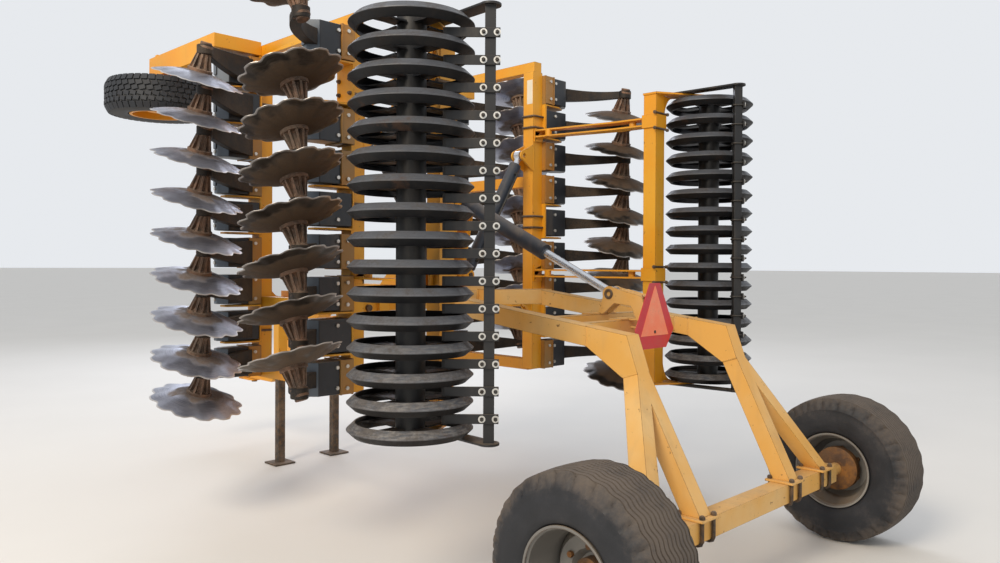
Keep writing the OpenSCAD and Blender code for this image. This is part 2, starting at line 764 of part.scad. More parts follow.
// Cone with a collar at the arm, a flange at the disc and ribs between them
module hub_solid() {
    rotate_extrude() polygon([
        [0, -hub_from], [hub_neck_d / 2 + 4, -hub_from], [hub_neck_d / 2 + 4, hub_from],
        [hub_neck_d / 2 - 6, hub_from], [hub_flange_d / 2 - 26, disc_at - hub_flange_t],
        [hub_flange_d / 2, disc_at - hub_flange_t], [hub_flange_d / 2, disc_at], [0, disc_at]
    ]);
    for (i = [0 : hub_ribs - 1]) rotate([90, 0, (i + 0.5) * 360 / hub_ribs])
        translate([0, 0, -hub_rib_t / 2]) linear_extrude(hub_rib_t) polygon([
            [hub_rib_in, hub_from - hub_rib_sink], [hub_neck_d / 2, hub_from - hub_rib_sink],
            [hub_flange_d / 2 - 7, disc_at - hub_flange_t + hub_rib_sink],
            [hub_rib_in, disc_at - hub_flange_t + hub_rib_sink]
        ]);
}

// The arm is the curve seen from above and a wedge seen from behind at once
module disc_arm(y, z, dir) {
    translate([0, y, z]) intersection() {
        translate([0, 0, -arm_root_h]) linear_extrude(2 * arm_root_h) arm_2d();
        plate_y(-hub_back / 2, 2 * hub_back) polygon([
            [box_face - 2, -arm_root_h / 2], [hub_x + 60, -arm_tip_h / 2],
            [hub_x + 60, arm_tip_h / 2], [box_face - 2, arm_root_h / 2]
        ]);
    }
    on_hub(y, z, dir) hub_solid();
}

// Depth of the dish at a radius, flat over the hub
disc_flat_r = 80;
dish_steps = 4;
function dish(r) = let (q = max(0, r - disc_flat_r) / (disc_d / 2 - disc_flat_r))
    disc_dish * (0.6 * q * q + 0.4 * q);
function dish_r(i) = i == 0 ? 0 : disc_flat_r + (disc_d / 2 - disc_flat_r) * (i - 1) / (dish_steps - 1);

module disc() {
    difference() {
        translate([0, 0, disc_at]) rotate_extrude() polygon(concat(
            [for (i = [0 : dish_steps]) [dish_r(i), dish(dish_r(i))]],
            [for (i = [dish_steps : -1 : 0]) [dish_r(i), dish(dish_r(i)) + disc_t]]
        ));
        for (i = [0 : disc_notches - 1]) rotate([0, 0, i * 360 / disc_notches])
            translate([disc_d / 2 + notch_r * 0.35, 0, disc_at])
                cylinder(r = notch_r, h = disc_dish + 40, $fn = 24);
    }
}

// Rows of a wing: the front rows open to the right and the rear rows to the left
function row_dir(s, row) = row == 0 ? s : -s;
function has_unit(s, row, k) = !(s < 0 && row == 1 && k == missing_unit);

module discs(s, row) {
    color("gray") side(s) for (k = [0 : disc_count - 1]) if (has_unit(s, row, k))
        on_hub(beam_ys[1 - row], unit_z(k), row_dir(s, row)) disc();
}

module disc_arms(s) {
    color("black") side(s) for (row = [0, 1]) for (k = [0 : disc_count - 1]) if (has_unit(s, row, k))
        disc_arm(beam_ys[1 - row], unit_z(k), row_dir(s, row));
}

// ROLLERS
spoke_t = 8;

// Half section of a ring: a roof-shaped rim
module ring_2d() {
    r = ring_d / 2;
    polygon([
        [r - ring_ridge - 8, -ring_w / 2], [r - ring_ridge, -ring_w / 2], [r, 0],
        [r - ring_ridge, ring_w / 2], [r - ring_ridge - 8, ring_w / 2], [r - 10, 0]
    ]);
}

// A pair of spokes across a ring, wider where they meet the rim
module spoke_pair_2d() {
    r = ring_d / 2 - 11;
    half = [[r, 30], [r - 9, 72], [r - 32, 56], [r - 68, 44], [r - 130, 38]];
    upper = concat(half, [for (i = [len(half) - 1 : -1 : 0]) [-half[i][0], half[i][1]]]);
    polygon(concat(upper, [for (i = [len(upper) - 1 : -1 : 0]) [upper[i][0], -upper[i][1]]]));
}

module ring(z) {
    translate([0, 0, z]) {
        rotate_extrude() ring_2d();
        for (a = [0, 90]) rotate([0, 0, a]) translate([0, 0, -spoke_t / 2]) linear_extrude(spoke_t) spoke_pair_2d();
    }
}

module roller(s) {
    color("dimgray") side(s) translate([roller_x, 0, 0]) {
        for (k = [0 : ring_count - 1]) ring(ring_bottom_z + k * ring_pitch);
        translate([0, 0, roller_z0]) cylinder(d = roller_tube_d, h = roller_z1 - roller_z0);
        translate([0, 0, roller_z0 - 8]) cylinder(d = roller_shaft_d, h = roller_z1 - roller_z0 + 16);
    }
}

// Outline of a roller end plate, from the roller beam to the bearing
module end_plate_2d() {
    difference() {
        union() {
            translate([roller_x, 0]) circle(75);
            polygon([
                [roller_beam_x - roller_beam / 2 - 5, roller_beam_y - roller_beam / 2 - 5],
                [roller_beam_x - roller_beam / 2 - 5, roller_beam_y + roller_beam / 2 + 5],
                [roller_beam_x + roller_beam / 2 + 5, roller_beam_y + roller_beam / 2 + 5],
                [roller_x + 30, 69], [roller_x - 30, -69]
            ]);
        }
        translate([roller_x, 0]) circle(roller_shaft_d / 2 + pin_gap);
    }
}

// Hollow-edged gusset between the roller beam and an end plate
gusset_t = 10;
gusset_x = 78;
gusset_z = 100;

module gusset_2d() {
    polygon(concat([[0, 0]], [for (i = [0 : 6]) let (a = 15 * i)
        [gusset_x * (1 - 0.86 * sin(a)), 6 + (gusset_z - 6) * (1 - cos(a))]], [[0, gusset_z]]));
}

module roller_frame(s) {
    color("goldenrod") side(s) {
        block([roller_beam_x - roller_beam / 2, roller_beam_y - roller_beam / 2, roller_z0 - 8],
            [roller_beam_x + roller_beam / 2, roller_beam_y + roller_beam / 2, roller_z1 + 8]);
        for (z = [roller_z0 - 8 - end_plate_t, roller_z1 + 8])
            translate([0, 0, z]) linear_extrude(end_plate_t) end_plate_2d();
        for (q = [[roller_z0 - 8, 1], [roller_z1 + 8, -1]]) plate_y(roller_beam_y, gusset_t)
            translate([roller_beam_x + roller_beam / 2 - 2, q[0]]) scale([1, q[1]]) gusset_2d();
    }
}

// Arms that carry the roller frame behind the rear beam: two plates on spacers, and a clamp round the post
arm_h = 60;
arm_plate_t = 12;
arm_back_t = 12;
spacer_d = 50;
clamp_band_t = 10;
clamp_band_h = 90;

module roller_arm_2d() {
    polygon([
        [beam_in + 10, rear_beam_y - wing_beam / 2], [beam_out - 5, rear_beam_y - wing_beam / 2],
        [beam_out - 5, rear_beam_y - wing_beam], [roller_beam_x + 40, roller_beam_y + 300],
        [roller_beam_x + roller_beam / 2, roller_beam_y + roller_beam / 2],
        [roller_beam_x - roller_beam / 2, roller_beam_y + roller_beam / 2],
        [roller_beam_x - 70, roller_beam_y + 300]
    ]);
}

module post_clamp() {
    half = roller_beam / 2 + clamp_band_t;
    translate([roller_beam_x, roller_beam_y, -clamp_band_h / 2]) difference() {
        union() {
            block([-half, -half, 0], [half, half, clamp_band_h]);
            for (v = [-1, 1]) block([half - 2, v * 15 - 5, 0], [half + 32, v * 15 + 5, clamp_band_h]);
        }
        translate([-roller_beam / 2, -roller_beam / 2, -1]) cube([roller_beam, roller_beam, clamp_band_h + 2]);
    }
}

module roller_arms(s) {
    color("goldenrod") side(s) for (z = roller_arm_zs) translate([0, 0, z]) {
        for (v = [-1, 1]) translate([0, 0, v * (arm_h - arm_plate_t) / 2 - arm_plate_t / 2])
            linear_extrude(arm_plate_t) roller_arm_2d();
        for (q = [[wing_x, rear_beam_y - wing_beam - 60], [roller_beam_x - 10, roller_beam_y + 170]])
            translate([q[0], q[1], -arm_h / 2 + 2]) cylinder(d = spacer_d, h = arm_h - 4);
        block([beam_in + 10, rear_beam_y - wing_beam / 2 - arm_back_t, -arm_h],
            [beam_out - 5, rear_beam_y - wing_beam / 2, arm_h]);
        post_clamp();
    }
}

// SCRAPERS
// The bar is turned so that its faces look along and across the scrapers
scraper_turn = 45;
scraper_t = 10;
scraper_h = ring_pitch - ring_w - 3 * run_gap;
scraper_len = 215;
scraper_tail = 45;

module scraper_at() {
    translate([scraper_bar_x, scraper_y, 0]) rotate([0, 0, scraper_turn]) children();
}

module scraper_bar(s) {
    color("darkslategray") side(s) {
        z0 = roller_z0 - 8 - end_plate_t;
        z1 = roller_z1 + 8 + end_plate_t;
        scraper_at() block([-scraper_bar_w / 2, -scraper_bar_w / 2, z0 - end_plate_t / 2],
            [scraper_bar_w / 2, scraper_bar_w / 2, z1 + end_plate_t / 2]);
        for (z = [z0 - end_plate_t, z1]) translate([0, 0, z]) linear_extrude(end_plate_t) {
            translate([scraper_bar_x, scraper_y]) circle(50);
            polygon([
                [scraper_bar_x - 48, scraper_y], [scraper_bar_x + 48, scraper_y],
                [scraper_bar_x + 10, roller_beam_y - 20], [scraper_bar_x - 70, roller_beam_y - 20]
            ]);
        }
    }
}

module scrapers(s) {
    color("dimgray") side(s) for (k = [0 : ring_count - 2])
        translate([0, 0, ring_bottom_z + (k + 0.5) * ring_pitch - scraper_h / 2]) scraper_at() {
            face = -scraper_bar_w / 2;
            linear_extrude(scraper_h) polygon([
                [-scraper_tail, face - scraper_t], [scraper_len - 15, face - scraper_t],
                [scraper_len, face], [-scraper_tail, face]
            ]);
        }
}

// SUPPORT WHEEL ARM
module support_arm(s) {
    color("goldenrod") side(s) {
        block([wing_x + top_tie / 2, front_beam_y - 50, wing_top_z + 5],
            [support_x - 50, front_beam_y + 50, support_arm_z]);
        block([support_x - 50, front_beam_y - 50, wing_top_z + 5],
            [support_x + 50, front_beam_y + 110, support_arm_z]);
        block([support_x - 50, front_beam_y + 110, support_arm_z - support_arm_h],
            [support_x + 50, support_y + 60, support_arm_z]);
        block([support_x - 25, support_y - 25, support_arm_z], [support_x + 25, support_y + 15, support_arm_z + 25]);
        translate([support_x, support_y, support_wheel_z - 60])
            cylinder(r = 30, h = support_arm_z - support_arm_h - support_wheel_z + 60);
    }
}

place() centre_frame();
place() tower();
place() drawbar();
place() hinge_pins();
place() hitch_crossbar();
place() hitch_pins();
stand(-1);  // stand_left
stand(1);  // stand_right
place() carriage_frame();
place() axle_beam();
place() axle_clamps();
place() lift_bracket();
place() warning_sign();
tyre(-1);  // tyre_left
tyre(1);  // tyre_right
rim(-1);  // rim_left
rim(1);  // rim_right
place() lift_barrel();
place() lift_rod();
fold_barrel(-1);  // fold_barrel_left
fold_barrel(1);  // fold_barrel_right
fold_rod(-1);  // fold_rod_left
fold_rod(1);  // fold_rod_right
wing_frame(-1);  // wing_frame_left
wing_frame(1);  // wing_frame_right
clamp_boxes(-1);  // clamp_boxes_left
clamp_boxes(1);  // clamp_boxes_right
unit_brackets(-1);  // unit_brackets_left
unit_brackets(1);  // unit_brackets_right
disc_arms(-1);  // disc_arms_left
disc_arms(1);  // disc_arms_right
discs(-1, 0);  // discs_front_left
discs(1, 0);  // discs_front_right
discs(-1, 1);  // discs_rear_left
discs(1, 1);  // discs_rear_right
roller_frame(-1);  // roller_frame_left
roller_frame(1);  // roller_frame_right
roller_arms(-1);  // roller_arms_left
roller_arms(1);  // roller_arms_right
scraper_bar(-1);  // scraper_bar_left
scraper_bar(1);  // scraper_bar_right
scrapers(-1);  // scrapers_left
scrapers(1);  // scrapers_right
support_arm(-1);  // support_arm_left
support_arm(1);  // support_arm_right
roller(-1);  // roller_left
roller(1);  // roller_right
support_tyre(-1);  // support_tyre_left
support_tyre(1);  // support_tyre_right
support_rim(-1);  // support_rim_left
support_rim(1);  // support_rim_right
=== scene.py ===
"""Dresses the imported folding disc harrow: paint, worn steel, tyres, bolts, welds and the studio around it.

All sizes are in metres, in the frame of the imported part: X to the right, Y to the front, Z up.
"""

from __future__ import annotations

import json
import logging
import math
import sys
from dataclasses import dataclass
from enum import Enum
from functools import cache
from typing import Any, Callable, Iterable, Protocol, Sequence

import bmesh
import bpy
from mathutils import Matrix, Vector

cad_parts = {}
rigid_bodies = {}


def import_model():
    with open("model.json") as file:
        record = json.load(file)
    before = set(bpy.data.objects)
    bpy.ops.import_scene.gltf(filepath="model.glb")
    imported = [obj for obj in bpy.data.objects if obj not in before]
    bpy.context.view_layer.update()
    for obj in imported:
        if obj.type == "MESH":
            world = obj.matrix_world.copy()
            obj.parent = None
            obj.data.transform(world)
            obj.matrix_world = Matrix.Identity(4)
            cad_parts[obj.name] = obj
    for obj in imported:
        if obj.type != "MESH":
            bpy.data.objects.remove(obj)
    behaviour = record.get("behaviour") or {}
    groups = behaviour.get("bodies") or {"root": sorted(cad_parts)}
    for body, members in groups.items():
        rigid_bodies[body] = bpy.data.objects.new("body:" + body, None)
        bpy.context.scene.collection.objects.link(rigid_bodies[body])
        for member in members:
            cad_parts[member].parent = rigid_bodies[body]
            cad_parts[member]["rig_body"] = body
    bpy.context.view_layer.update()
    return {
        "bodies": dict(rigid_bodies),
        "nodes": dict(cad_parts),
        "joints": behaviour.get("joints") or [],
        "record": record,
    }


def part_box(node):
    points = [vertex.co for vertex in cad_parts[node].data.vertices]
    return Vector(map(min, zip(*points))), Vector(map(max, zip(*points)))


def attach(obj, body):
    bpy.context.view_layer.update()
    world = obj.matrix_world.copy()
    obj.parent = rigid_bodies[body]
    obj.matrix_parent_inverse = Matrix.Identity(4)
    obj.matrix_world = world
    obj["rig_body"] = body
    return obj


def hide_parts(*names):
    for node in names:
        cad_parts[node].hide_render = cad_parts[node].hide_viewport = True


log = logging.getLogger("harrow")

PHOTO_WIDTH = 1000  # in pixels
MERGE_DISTANCE = 1e-5
FLAT_ANGLE = math.radians(1)
BEVEL_ANGLE = math.radians(40)
FULL_TURN = 2 * math.pi
QUARTER_TURN = math.pi / 2

Colour = tuple[float, float, float]
Point2 = tuple[float, float]
Point3 = tuple[float, float, float]
Tint = Colour | bpy.types.NodeSocket

LEGS: tuple[float, float] = (0.45, 0.833)  # how far the carriage's legs stand from its middle


def tone(code: str) -> Colour:
    """Turns a colour of six hex digits into the linear values that shaders use.

    Args:
        code: Red, green and blue as two hex digits each.

    Returns:
        The three linear values.
    """
    parts = [int(code[i : i + 2], 16) / 255 for i in (0, 2, 4)]
    red, green, blue = (v / 12.92 if v <= 0.04045 else ((v + 0.055) / 1.055) ** 2.4 for v in parts)
    return red, green, blue


def turns(count: int) -> list[float]:
    """The turns of a number of steps round a full circle."""
    return [FULL_TURN * step / count for step in range(count)]


def around(turn: float, radius: float) -> Point2:
    """The point on a circle at a turn."""
    return radius * math.cos(turn), radius * math.sin(turn)


def mirrored(half: Sequence[Sequence[float]], axis: int, middle: float = 0) -> list[tuple[float, ...]]:
    """The other half of a symmetric path: its points mirrored on one axis, in reverse order."""
    return [
        tuple(2 * middle - value if number == axis else value for number, value in enumerate(point))
        for point in reversed(half)
    ]


class Side(Enum):
    """The two wings of the machine; the left one is the right one mirrored."""

    LEFT = -1
    RIGHT = 1

    def named(self, stem: str) -> str:
        """The name that a piece, body or node has on this side."""
        return f"{stem}_{self.name.lower()}"

    @property
    def mirror(self) -> Matrix:
        """Mirrors a shape of the right side onto this side."""
        return Matrix.Diagonal((self.value, 1, 1, 1))


class Row(Enum):
    """The two rows of discs of a wing; the value is the way that the right wing's dishes open."""

    FRONT = 1
    REAR = -1

    @property
    def word(self) -> str:
        """The row's name as the nodes have it."""
        return self.name.lower()


@dataclass(frozen=True)
class Layout:
    """Places that the sub-assemblies share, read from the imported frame."""

    roller_x: float
    roller_y: float
    ring_bottom: float
    wing_x: float
    wing_bottom: float
    rear_beam_y: float
    front_beam_y: float
    pitch: float = 0.25
    disc_count: int = 9
    missing_unit: int = 7
    beam: float = 0.1
    roller_end: float = 0.038
    unit_drop: float = 0.01

    @classmethod
    def from_frame(cls) -> Layout:
        """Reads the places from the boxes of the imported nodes."""
        roller_low, roller_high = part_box("roller_right")
        wing_low, wing_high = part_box("wing_frame_right")
        beam = cls.beam
        return cls(
            roller_x=(roller_low.x + roller_high.x) / 2,
            roller_y=(roller_low.y + roller_high.y) / 2,
            ring_bottom=roller_low.z + cls.roller_end,
            wing_x=wing_high.x - beam / 2,
            wing_bottom=wing_low.z,
            rear_beam_y=wing_low.y + beam / 2,
            front_beam_y=wing_high.y - beam / 2,
        )

    def unit_place(self, side: Side, row: Row, index: int, out: float = 0, back: float = 0) -> Matrix:
        """Where a disc unit, counted from below, stands: on its beam, or out and back from it."""
        beam_y = self.front_beam_y if row is Row.FRONT else self.rear_beam_y
        height = self.wing_bottom + (index + 0.5) * self.pitch - self.unit_drop
        return side.mirror @ Matrix.Translation((self.wing_x + out, beam_y - back, height))

    def units(self, side: Side, row: Row) -> list[int]:
        """The disc units that a row still has."""
        gone = side is Side.LEFT and row is Row.REAR
        return [k for k in range(self.disc_count) if not (gone and k == self.missing_unit)]


class Tree:
    """A node tree in which one method makes every node."""

    def __init__(self, tree: bpy.types.NodeTree) -> None:
        """Takes the tree that the nodes go into."""
        self.tree = tree

    def node(self, kind: str, sockets: dict[str | int, Any] | None = None, **settings: Any) -> bpy.types.Node:
        """Makes a node, sets it up and fills its sockets.

        Args:
            kind: The node's type.
            sockets: Values or links for its inputs, by name or number.
            **settings: Its properties, set before the sockets.

        Returns:
            The node.
        """
        node = self.tree.nodes.new(kind)
        for name, value in settings.items():
            setattr(node, name, value)
        for key, value in (sockets or {}).items():
            socket = node.inputs[key]
            source = value.socket if isinstance(value, Value) else value
            if isinstance(source, bpy.types.NodeSocket):
                self.tree.links.new(source, socket)
            elif socket.type == "RGBA" and len(source) == 3:
                socket.default_value = (*source, 1)
            else:
                socket.default_value = source
        return node

    def flow(
        self, kind: str, sockets: dict[str | int, Any] | None = None, output: str | int = 0, **settings: Any
    ) -> bpy.types.NodeSocket:
        """Makes a node and gives one of its outputs, the first where none is named."""
        return self.node(kind, sockets, **settings).outputs[output]


class Value:
    """A number socket of a shader, which Python's operators work on."""

    def __init__(self, tree: Tree, socket: bpy.types.NodeSocket) -> None:
        """Wraps a socket of a tree."""
        self.tree = tree
        self.socket = socket

    def _math(self, operation: str, *terms: Value | float) -> Value:
        """Adds a Math node and gives its result."""
        return Value(self.tree, self.tree.flow("ShaderNodeMath", dict(enumerate(terms)), operation=operation))

    def __add__(self, other: Value | float) -> Value:
        """The sum."""
        return self._math("ADD", self, other)

    __radd__ = __add__

    def __sub__(self, other: Value | float) -> Value:
        """The difference."""
        return self._math("SUBTRACT", self, other)

    def __rsub__(self, other: float) -> Value:
        """The difference from a number."""
        return self._math("SUBTRACT", other, self)

    def __mul__(self, other: Value | float) -> Value:
        """The product."""
        return self._math("MULTIPLY", self, other)

    __rmul__ = __mul__

    def __pow__(self, other: float) -> Value:
        """The power."""
        return self._math("POWER", self, other)

    def larger(self, other: Value | float) -> Value:
        """The larger of the two."""
        return self._math("MAXIMUM", self, other)

    def sine(self) -> Value:
        """The sine."""
        return self._math("SINE", self)

    def size(self) -> Value:
        """The value without its sign."""
        return self._math("ABSOLUTE", self)

    def step(self, low: float, high: float) -> Value:
        """Rises smoothly from 0 at low to 1 at high, or falls where high is the smaller."""
        sockets = {"Value": self, "From Min": low, "From Max": high}
        result = self.tree.flow("ShaderNodeMapRange", sockets, interpolation_type="SMOOTHSTEP")
        return Value(self.tree, result)


class Shader(Tree):
    """Builds the nodes of one material."""

    def __init__(self, name: str) -> None:
        """Starts an empty material that reads Object coordinates."""
        self.material = bpy.data.materials.new(name)
        self.material.use_nodes = True
        super().__init__(self.material.node_tree)
        self.tree.nodes.clear()
        self.coordinates = self.node("ShaderNodeTexCoord")
        self.place = self.coordinates.outputs["Object"]

    def noise(
        self, scale: float, detail: float = 3, rough: float = 0.55, stretch: Point3 = (1, 1, 1),
        seed: float = 0, place: bpy.types.NodeSocket | None = None,
    ) -> Value:
        """Cloudy noise from 0 to 1 at a place, stretched along the axes and shifted by a seed."""
        place = place or self.place
        if stretch != (1, 1, 1) or seed:
            place = self.mapped(Location=(seed, -seed, seed), Scale=stretch)
        sockets = {"Vector": place, "Scale": scale, "Detail": detail, "Roughness": rough}
        return Value(self, self.flow("ShaderNodeTexNoise", sockets))

    def mapped(self, **sockets: Point3) -> bpy.types.NodeSocket:
        """The place after a shift and a stretch."""
        return self.flow("ShaderNodeMapping", {"Vector": self.place, **sockets})

    def cells(self, scale: float) -> Value:
        """Distance to the middle of the nearest of many random cells."""
        sockets = {"Vector": self.place, "Scale": scale}
        return Value(self, self.flow("ShaderNodeTexVoronoi", sockets, "Distance"))

    def bands(self, scale: float) -> Value:
        """Waves across the piece's own sweep coordinates."""
        sockets = {"Vector": self.swept(), "Scale": scale, "Distortion": 0.0}
        return Value(self, self.flow("ShaderNodeTexWave", sockets, 1, wave_type="BANDS"))

    def axis(self, name: str, vector: bpy.types.NodeSocket | None = None) -> Value:
        """One axis of the place, or of another vector."""
        return Value(self, self.flow("ShaderNodeSeparateXYZ", {0: vector or self.place}, name))

    def upward(self) -> Value:
        """How far a surface looks up, from -1 to 1."""
        return self.axis("Z", self.coordinates.outputs["Normal"])

    def sideways(self) -> Value:
        """How far a surface looks to either side, from 0 to 1."""
        return self.axis("X", self.coordinates.outputs["Normal"]).size()

    def swept(self) -> bpy.types.NodeSocket:
        """The piece's own sweep coordinates."""
        return self.flow("ShaderNodeUVMap", uv_map=Shape.SWEEP)

    def along(self, name: str) -> Value:
        """One axis of the piece's own sweep coordinates."""
        return self.axis(name, self.swept())

    def edges(self, radius: float) -> Value:
        """1 on edges that are rounded at this radius, and 0 on flat faces."""
        soft = self.flow("ShaderNodeBevel", {"Radius": radius}, samples=4)
        flat = self.flow("ShaderNodeNewGeometry", output="Normal")
        dot = self.flow("ShaderNodeVectorMath", {0: soft, 1: flat}, "Value", operation="DOT_PRODUCT")
        return (1 - Value(self, dot)).step(0.01, 0.16)

    def tint(self, mask: Value | float, under: Tint, over: Tint) -> bpy.types.NodeSocket:
        """Lays one colour over another where the mask is 1."""
        return self.flow("ShaderNodeMix", {0: mask, 6: under, 7: over}, 2, data_type="RGBA")

    def bump(self, height: Value, distance: float, strength: float) -> bpy.types.NodeSocket:
        """A normal that follows a height."""
        return self.flow("ShaderNodeBump", {"Height": height, "Distance": distance, "Strength": strength})

    def finish(
        self, colour: Tint, rough: Value | float, metal: Value | float = 0.0,
        relief: bpy.types.NodeSocket | None = None,
    ) -> bpy.types.Material:
        """Closes the material with its surface shader.

        Args:
            colour: Its base colour.
            rough: Its roughness.
            metal: How metallic it is.
            relief: The normal of its fine relief.

        Returns:
            The material.
        """
        sockets = {"Base Color": colour, "Roughness": rough, "Metallic": metal}
        if relief:
            sockets["Normal"] = relief
        surface = self.flow("ShaderNodeBsdfPrincipled", sockets)
        self.node("ShaderNodeOutputMaterial", {"Surface": surface})
        return self.material


class Finish(Protocol):
    """What every finish has: a name, and a method that builds its material."""

    name: str

    def material(self) -> bpy.types.Material:
        """Builds the material."""


@dataclass(frozen=True)
class Paint:
    """Weathered enamel: faded patches, chips down to rust, worn edges and dust where it settles, and, where
    asked, a painted sheen on the faces that look sideways.
    """

    name: str
    colour: Colour
    faded: Colour
    worn: Colour
    dust: Colour = tone("8B7A66")
    dust_amount: float = 0.35
    wear: float = 0.5
    roughness: float = 0.42
    metallic: float = 0.0
    # How strong a painted sky sheen on faces that look sideways is, and its blue-grey.
    scour: float = 0.0
    scoured: Colour = tone("6A7683")

    def material(self) -> bpy.types.Material:
        """Builds the enamel."""
        shader = Shader(self.name)
        patches = shader.noise(2.1, 4)
        grain = shader.noise(48, 5, 0.62)
        streaks = shader.noise(9, 4, 0.6, (1, 1, 0.16), 3)
        colour = shader.tint(patches.step(0.38, 0.7), self.colour, self.faded)
        # Painted sheen: faces that look sideways turn a streaky, lighter blue-grey.
        if self.scour:
            side_sheen_mask = shader.sideways().step(0.45, 0.68) * (0.45 + streaks * 0.9) * self.scour
            colour = shader.tint(side_sheen_mask, colour, self.scoured)
        flaking = shader.noise(30, 6, 0.7, seed=7) + patches * 0.16
        chips = flaking.step(0.82 - 0.1 * self.wear, 0.86 - 0.08 * self.wear)
        edge = (shader.edges(0.006) * (0.35 + grain)).step(0.62 - 0.35 * self.wear, 0.95)
        bare = chips.larger(edge * self.wear)
        grime = ((1 - streaks) * 1.1 - grain * 0.25).step(0.42, 0.85) * 0.5
        settled = (shader.upward() * 0.55 + streaks).step(0.62, 1.25)
        dusty = (grime + settled) * (0.35 + grain) * self.dust_amount * 1.9
        colour = shader.tint(dusty, colour, self.dust)
        colour = shader.tint(bare, colour, self.worn)
        rough = self.roughness + dusty * 0.45 + bare * 0.25 + grain * 0.08
        height = grain * 0.25 - bare * 0.6 + streaks * 0.2
        return shader.finish(colour, rough, self.metallic, shader.bump(height, 0.0012, 0.5))


@dataclass(frozen=True)
class DiscSteel:
    """Ground steel of a disc: bright at the rim, soil towards the hub, fine circular scratches, and painted
    shade in the folds between its petals.
    """

    name: str
    bright: Colour
    dark: Colour
    soil: Colour
    soil_from: float
    rim_bright: float = 0.9
    petals: int = 12
    # How strongly the folds are darkened as painted shade.
    crease: float = 0.3

    def material(self) -> bpy.types.Material:
        """Builds the steel from the blade's sweep coordinates, radius along X and turn along Y."""
        shader = Shader(self.name)
        radius = shader.along("X")
        turn = shader.along("Y")
        cloud = shader.noise(7, 5, 0.6)
        fine = shader.noise(60, 4, 0.65, seed=2)
        rings = shader.flow("ShaderNodeCombineXYZ", {0: radius * 90, 1: turn * 3})
        sectors = shader.flow("ShaderNodeCombineXYZ", {0: radius * 2, 1: turn * 5})
        scratches = shader.noise(2.0, 3, 0.5, place=rings)
        patch = shader.noise(1.3, 2, 0.5, place=sectors)
        colour = shader.tint((scratches * 0.6 + cloud * 0.5).step(0.3, 0.75), self.dark, self.bright)
        earth = (1 - radius) + (cloud - 0.5) * 0.9 + (patch - 0.5) * 0.9
        soiled = earth.step(self.soil_from, self.soil_from + 0.28) * (0.55 + fine * 0.7)
        # Painted shade: the folds between the petals are darkened toward the dark steel.
        fold = (turn * (FULL_TURN * self.petals) + QUARTER_TURN).sine() + (cloud - 0.5) * 0.8
        crease = fold.step(0.1, 1.0) * radius.step(0.3, 0.8)
        rim = (radius + fine * 0.02).step(0.965, 0.995) * self.rim_bright
        colour = shader.tint(soiled, colour, self.soil)
        colour = shader.tint(crease * self.crease, colour, self.dark)
        colour = shader.tint(rim, colour, tone("C9C4C0"))
        rough = 0.34 + soiled * 0.42 + scratches * 0.1
        metal = 0.85 - soiled * 0.8
        height = scratches * 0.3 + soiled * fine * 1.4
        return shader.finish(colour, rough, metal, shader.bump(height, 0.0015, 0.6))


@dataclass(frozen=True)
class Iron:
    """Cast or rolled iron with rust, soil and rubbed edges."""

    name: str
    dark: Colour
    rust: Colour
    soil: Colour
    edge: Colour
    edge_amount: float = 0.6
    roughness: float = 0.62
    metallic: float = 0.35
    scale: float = 14

    def material(self) -> bpy.types.Material:
        """Builds the iron."""
        shader = Shader(self.name)
        cloud = shader.noise(self.scale, 6, 0.65)
        wide = shader.noise(self.scale * 0.22, 3, seed=5)
        fine = shader.noise(self.scale * 7, 5, 0.7, seed=1)
        colour = shader.tint(cloud.step(0.35, 0.68), self.dark, self.rust)
        earth = (wide * 0.7 + fine * 0.5 + shader.upward() * 0.12).step(0.55, 0.82)
        colour = shader.tint(earth * 0.85, colour, self.soil)
        edge = (shader.edges(0.004) * (0.3 + fine)).step(0.4, 0.9) * self.edge_amount
        colour = shader.tint(edge, colour, self.edge)
        rough = self.roughness + earth * 0.25 - edge * 0.2
        metal = self.metallic * (1 - earth)
        return shader.finish(colour, rough, metal, shader.bump(fine + cloud, 0.002, 0.45))


@dataclass(frozen=True)
class Plated:
    """Zinc or chrome plating with finger-thin scratches and a little grime."""

    name: str
    colour: Colour
    grime: Colour
    roughness: float = 0.3
    grime_amount: float = 0.4

    def material(self) -> bpy.types.Material:
        """Builds the plating."""
        shader = Shader(self.name)
        cloud = shader.noise(22, 5, 0.6)
        fine = shader.noise(240, 3, 0.6, (1, 1, 0.2))
        dirty = (cloud + fine * 0.2).step(0.55, 0.8) * self.grime_amount
        colour = shader.tint(dirty, self.colour, self.grime)
        rough = self.roughness + dirty * 0.4 + fine * 0.08
        return shader.finish(colour, rough, 0.9 - dirty * 0.5, shader.bump(fine, 0.0004, 0.4))


@dataclass(frozen=True)
class Rubber:
    """Tyre rubber: dark bluish walls, and road dust on the tread and the shoulder."""

    name: str
    wall: Colour = tone("17191E")
    dust: Colour = tone("5F554C")
    tread_from: float = 0.27

    def material(self) -> bpy.types.Material:
        """Builds the rubber from the tyre's sweep coordinates, the tread lying in the middle of X."""
        shader = Shader(self.name)
        across = shader.along("X")
        cloud = shader.noise(6, 6, 0.62)
        fine = shader.noise(70, 5, 0.7)
        middle = (1 - (across - 0.5).size() * 2).step(self.tread_from - 0.2, self.tread_from + 0.16)
        dusty = (middle * 0.85 + cloud * 1.5 + fine * 0.6).step(1.15, 2.05)
        wall = shader.tint(cloud.step(0.35, 0.7), self.wall, tone("25262B"))
        colour = shader.tint(dusty * 0.9, wall, self.dust)
        rough = 0.58 + dusty * 0.34
        height = fine * 0.8 + shader.bands(14) * (1 - middle) * 0.5
        return shader.finish(colour, rough, relief=shader.bump(height, 0.002, 0.5))


